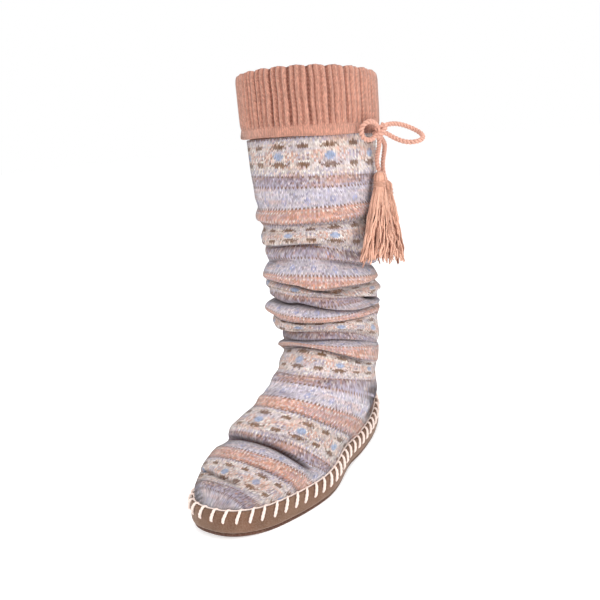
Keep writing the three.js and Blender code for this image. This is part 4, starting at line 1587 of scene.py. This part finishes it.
def knot_piece(material):
    """An overhand knot, pulled tight, with a strand laid across its front."""
    turn = np.linspace(0, 2 * np.pi, 240)
    across = (np.sin(turn) + 2 * np.sin(2 * turn)) * 1.75
    tall = (np.cos(turn) - 2 * np.cos(2 * turn)) * 1.35
    deep = -np.sin(3 * turn) * 2.4
    centre = beside(KNOT_TURN, CUFF_RADIUS + KNOT_DEEP, KNOT_HEIGHT)
    outward = beside(KNOT_TURN, 1, 0) - beside(KNOT_TURN, 0, 0)
    along = np.cross(UP, outward)
    path = centre + across[:, None] * along + deep[:, None] * outward + tall[:, None] * UP
    pile = Pile()
    twisted(pile, path, CORD_DIAMETER * KNOT_SNUG)
    places = [centre + a * along + z * UP + d * outward for a, z, d in KNOT_BAR]
    twisted(pile, smooth_path(places, ROUTE_STEP), CORD_DIAMETER)
    return pile.mesh("bow_knot", material, "cord_yarn", ["tie_knot"])


# A tassel's half width and half depth by the share of its length.
TASSEL = Table(
    ["down", "across", "deep"],
    [
        [0, 1.6, 1.5],
        [0.02, 3.6, 3.4],
        [0.06, 5.4, 5.0],
        [0.1, 5.2, 4.8],
        [0.13, 3.9, 3.7],
        [0.17, 5.0, 4.6],
        [0.34, 9.4, 6.6],
        [0.62, 15.2, 8.2],
        [0.94, 20.6, 9.4],
        [1, 21.4, 9.6],
    ],
)
# The top and the foot of each tassel, as turn, radius and height in degrees and millimetres.
TASSEL_HANG = {
    "tassel_front": ((94.3, 60.8, 250.0), (77.0, 65.5, 250.0 - TASSEL_LENGTH)),
    "tassel_back": ((110.5, 62.0, 241.0), (120.0, 65.5, 241.0 - TASSEL_LENGTH)),
}
TASSEL_STRANDS = 124
STRAND_SHADES = (0.0, 0.45, 0.8, 1.0, 1.0)
HEAD_ENDS = 0.2
STRANDS_LOOSEN = (0.16, 0.8)
STRANDS_FAN = (0.14, 0.3)
WRAPS = 4
WRAP_START = 0.112
WRAP_PITCH = 0.015
WRAP_PROUD = 0.9


def from_shaft(place):
    """Directions away from the shaft's middle line and along the cuff, at a place or places."""
    away = (place - np.array([0, SHAFT_CENTRE, 0])) * (1, 1, 0)
    away /= np.linalg.norm(away, axis=-1, keepdims=True)
    return away, np.stack([-away[..., 1], away[..., 0], np.zeros(away.shape[:-1])], -1)


def strand_wave(random, down):
    """A loose strand's bends: one slow wave and one quick one."""
    slow = 1.1 * np.sin(down * random.uniform(8, 14) + 6.3 * random.random())
    return slow + 0.6 * np.sin(down * random.uniform(26, 44) + 6.3 * random.random())


def tassel_piece(name, material, radius, seed):
    """Plied strands folded over the cord, bound under their head and hanging in a skirt."""
    random = np.random.default_rng(seed)
    top, foot = (beside(*place) for place in TASSEL_HANG[name])
    pile = Pile()
    for strand in range(TASSEL_STRANDS):
        turn = 2 * np.pi * (strand / TASSEL_STRANDS + 0.03 * random.random())
        depth = 1 if strand % 2 else math.sqrt(random.uniform(0.08, 0.85))
        end = random.uniform(0.9, 1.02) if strand % 4 else random.uniform(0.8, 0.95)
        head = np.linspace(0, HEAD_ENDS, 9)[:-1]
        down = np.concatenate([head, np.linspace(HEAD_ENDS, end, 33)])
        middle = top + (foot - top) * down[:, None]
        away, along = from_shaft(middle)
        loose = ease(*STRANDS_LOOSEN, down)
        swing = turn + 0.35 * loose * math.sin(9 * random.random())
        inside = mix(1 if strand % 4 == 1 else 0.82, depth, ease(*STRANDS_FAN, down))
        wave = loose * strand_wave(random, down)
        wave_out = loose * strand_wave(random, down)
        out = (TASSEL("deep", down) * inside - 0.3) * np.cos(swing) + 0.8 * wave_out
        side = (TASSEL("across", down) * inside - 0.3) * np.sin(swing) + 1.3 * wave
        path = middle + out[:, None] * away + side[:, None] * along
        thin = radius / MM * (1 - 0.45 * ease(0.97, 1, down / end)) * random.uniform(0.85, 1.12)
        pile.tube(path, thin, 6, lobes=0.25, twist=2.2, shade=random.choice(STRAND_SHADES))
    turn = np.linspace(0, 2 * np.pi, 33)
    for wrap in range(WRAPS):
        down = WRAP_START + wrap * WRAP_PITCH
        middle = top + (foot - top) * (down + 0.003 * turn / np.pi)[:, None]
        away, along = from_shaft(middle[0])
        out = (TASSEL("deep", down) + WRAP_PROUD) * np.cos(turn)
        side = (TASSEL("across", down) + WRAP_PROUD) * np.sin(turn)
        path = middle + out[:, None] * away + side[:, None] * along
        pile.tube(path, radius / MM * 0.75, 8, lobes=0.2, twist=2.1, shade=0.75)
    return pile.mesh(name + "_yarn", material, "tassel_yarn", [name])


class SLIPPERSOCK_OT_tie(bpy.types.Operator):
    """Tie the twisted cord in a bow and hang a tassel on each end"""

    bl_idname = "slipper_sock.tie"
    bl_label = "Tie and Tassels"

    def execute(self, context):
        settings = context.scene
        yarns = settings.slipper_sock_yarns
        strand = settings.slipper_sock_sizes.tassel_strand
        material = yarn_material("Twisted cord", tuple(yarns.cord), 0.85, 0.2, 0.3)
        skirt = yarn_material("Tassel yarn", tuple(yarns.tassel), 1.0, 0.25, 0.25)
        knot = knot_piece(material)
        front = tassel_piece("tassel_front", skirt, strand, 3)
        back = tassel_piece("tassel_back", skirt, strand, 4)
        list(cord_piece("bow_loop_long", LOOP_LONG, material, "tie_loop_long"))
        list(cord_piece("bow_loop_short", LOOP_SHORT, material, "tie_loop_short"))
        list(cord_piece("cord_end_front", END_FRONT, material, "tie_end_front"))
        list(cord_piece("cord_end_back", END_BACK, material, "tie_end_back"))
        return {"FINISHED"}


# The stage

CAMERA_TURN = 32.0
CAMERA_DISTANCE = 0.55
CAMERA_HEIGHT = 0.285
CAMERA_AIM = (-0.001, 0.02, 0.147)
CAMERA_ROLL = -5.0
CAMERA_LENS = 39.4
SKY_LIGHT = 0.62
FLOOR_REACH = 12.0
FLOOR_GREY = (0.9, 0.9, 0.9, 1)
FLOOR_GLOW = (0.42, 0.42, 0.42, 1)
FLOOR_FADE = (1.0, 3.5)
BLACK = (0, 0, 0, 1)
WHITE = (1, 1, 1, 1)
# The soft round lights: name, place, diameter and power.
LIGHTS = (
    ("Key", (1.5, 0.0, 0.6), 1.1, 11.5),
    ("Fill", (-1.4, -1.3, 0.8), 1.4, 1.5),
    ("Front", (0.7, -1.5, 0.3), 1.2, 7.5),
    ("Top", (0.1, -0.2, 1.9), 0.9, 11),
)
LIGHTS_AIM = (0, 0.04, 0.16)
SPOT_PLACE = (0.35, -1.25, 1.1)
SPOT_AIM = (0, -0.04, 0.05)
SPOT_POWER = 42
SPOT_ANGLE = math.radians(25)
SPOT_SOFTNESS = 0.25


def hang_light(light, place, aim):
    """Hangs a light at a place and turns it towards its aim."""
    lamp = bpy.data.objects.new(light.name, light)
    lamp.location = place
    lamp.rotation_euler = (Vector(aim) - Vector(place)).to_track_quat("-Z", "Y").to_euler()
    bpy.context.scene.collection.objects.link(lamp)


def hang_lights():
    """Soft lights round the shoe, and one soft spot on the foot."""
    for name, place, size, power in LIGHTS:
        light = bpy.data.lights.new(name, "AREA")
        light.shape = "DISK"
        light.size = size
        light.energy = power
        hang_light(light, place, LIGHTS_AIM)
    light = bpy.data.lights.new("Foot", "SPOT")
    light.energy = SPOT_POWER
    light.spot_size = SPOT_ANGLE
    light.spot_blend = 1
    light.shadow_soft_size = SPOT_SOFTNESS
    hang_light(light, SPOT_PLACE, SPOT_AIM)


def set_camera(scene):
    """A camera near the shoe, turned from the toe to the outer side and rolled a little."""
    camera = bpy.data.cameras.new("Camera")
    camera.lens = CAMERA_LENS
    camera.clip_end = 50
    view = bpy.data.objects.new("Camera", camera)
    turn = math.radians(CAMERA_TURN)
    aim = Vector(CAMERA_AIM)
    across = Vector((math.sin(turn), -math.cos(turn), 0)) * CAMERA_DISTANCE
    view.location = aim * Vector((1, 1, 0)) + across + Vector((0, 0, CAMERA_HEIGHT))
    level = (aim - view.location).to_track_quat("-Z", "Y")
    view.rotation_euler = (level @ Quaternion((0, 0, 1), math.radians(CAMERA_ROLL))).to_euler()
    scene.collection.objects.link(view)
    scene.camera = view


def lay_floor(scene):
    """A wide pale floor that fades to plain white far from the shoe."""
    mesh = bpy.data.meshes.new("floor")
    reach = FLOOR_REACH
    corners = [(-reach, -reach, 0), (reach, -reach, 0), (reach, reach, 0), (-reach, reach, 0)]
    mesh.from_pydata(corners, [], [(0, 1, 2, 3)])
    material, tree, shader = new_material("Studio floor", 0.9, 0, (1, 1, 1))
    place = own_space(tree)
    away = put(tree, "ShaderNodeVectorMath", {0: place}, operation="LENGTH").outputs["Value"]
    far = ramp(tree, away, *FLOOR_FADE)
    tree.links.new(mixed(tree, "MIX", far, FLOOR_GREY, BLACK), shader.inputs["Base Color"])
    tree.links.new(mixed(tree, "MIX", far, FLOOR_GLOW, WHITE), shader.inputs["Emission Color"])
    shader.inputs["Emission Strength"].default_value = 1
    mesh.materials.append(material)
    floor = bpy.data.objects.new("floor", mesh)
    scene.collection.objects.link(floor)


def light_sky(scene):
    """A white sky that lights the shoe less brightly than it looks."""
    world = bpy.data.worlds.new("Studio")
    world.use_nodes = True
    tree = world.node_tree
    background = tree.nodes["Background"]
    seen = put(tree, "ShaderNodeLightPath", {}).outputs["Is Camera Ray"]
    strength = {"Value": seen, "To Min": SKY_LIGHT, "To Max": 1.0}
    shown = put(tree, "ShaderNodeMapRange", strength).outputs["Result"]
    tree.links.new(shown, background.inputs["Strength"])
    background.inputs["Color"].default_value = WHITE
    scene.world = world


class SLIPPERSOCK_OT_stage(bpy.types.Operator):
    """Set up the pale floor, the soft lights and the camera"""

    bl_idname = "slipper_sock.stage"
    bl_label = "Stage and Camera"

    def execute(self, context):
        scene = context.scene
        set_camera(scene)
        lay_floor(scene)
        light_sky(scene)
        hang_lights()
        scene.view_settings.view_transform = "Standard"
        return {"FINISHED"}


class SLIPPERSOCK_PT_panel(bpy.types.Panel):
    """The slipper sock's pieces and settings"""

    bl_idname = "SLIPPERSOCK_PT_panel"
    bl_label = "Slipper Sock"
    bl_space_type = "VIEW_3D"
    bl_region_type = "UI"
    bl_category = "Slipper Sock"

    def draw(self, context):
        layout = self.layout
        for operator in OPERATORS:
            layout.operator(operator.bl_idname)
        for settings in ("slipper_sock_sizes", "slipper_sock_yarns", "slipper_sock_suede"):
            group = getattr(context.scene, settings)
            box = layout.box()
            for name in group.bl_rna.properties.keys():
                if name not in ("rna_type", "name"):
                    box.prop(group, name)


OPERATORS = (
    SLIPPERSOCK_OT_stage,
    SLIPPERSOCK_OT_tie,
    SLIPPERSOCK_OT_knit,
    SLIPPERSOCK_OT_cuff,
    SLIPPERSOCK_OT_sole,
    SLIPPERSOCK_OT_whip_stitch,
)
SETTINGS = {
    "slipper_sock_yarns": SlipperSockYarns,
    "slipper_sock_suede": SlipperSockSuede,
    "slipper_sock_sizes": SlipperSockSizes,
}
CLASSES = (*SETTINGS.values(), *OPERATORS, SLIPPERSOCK_PT_panel)


def register():
    for made in CLASSES:
        bpy.utils.register_class(made)
    for name, group in SETTINGS.items():
        setattr(bpy.types.Scene, name, bpy.props.PointerProperty(type=group))


def unregister():
    for name in SETTINGS:
        delattr(bpy.types.Scene, name)
    for made in reversed(CLASSES):
        bpy.utils.unregister_class(made)


def main():
    register()
    bpy.ops.slipper_sock.stage()
    bpy.ops.slipper_sock.tie()
    bpy.ops.slipper_sock.knit()
    bpy.ops.slipper_sock.cuff()
    bpy.ops.slipper_sock.sole()
    bpy.ops.slipper_sock.whip_stitch()


if __name__ == "__main__":
    main()
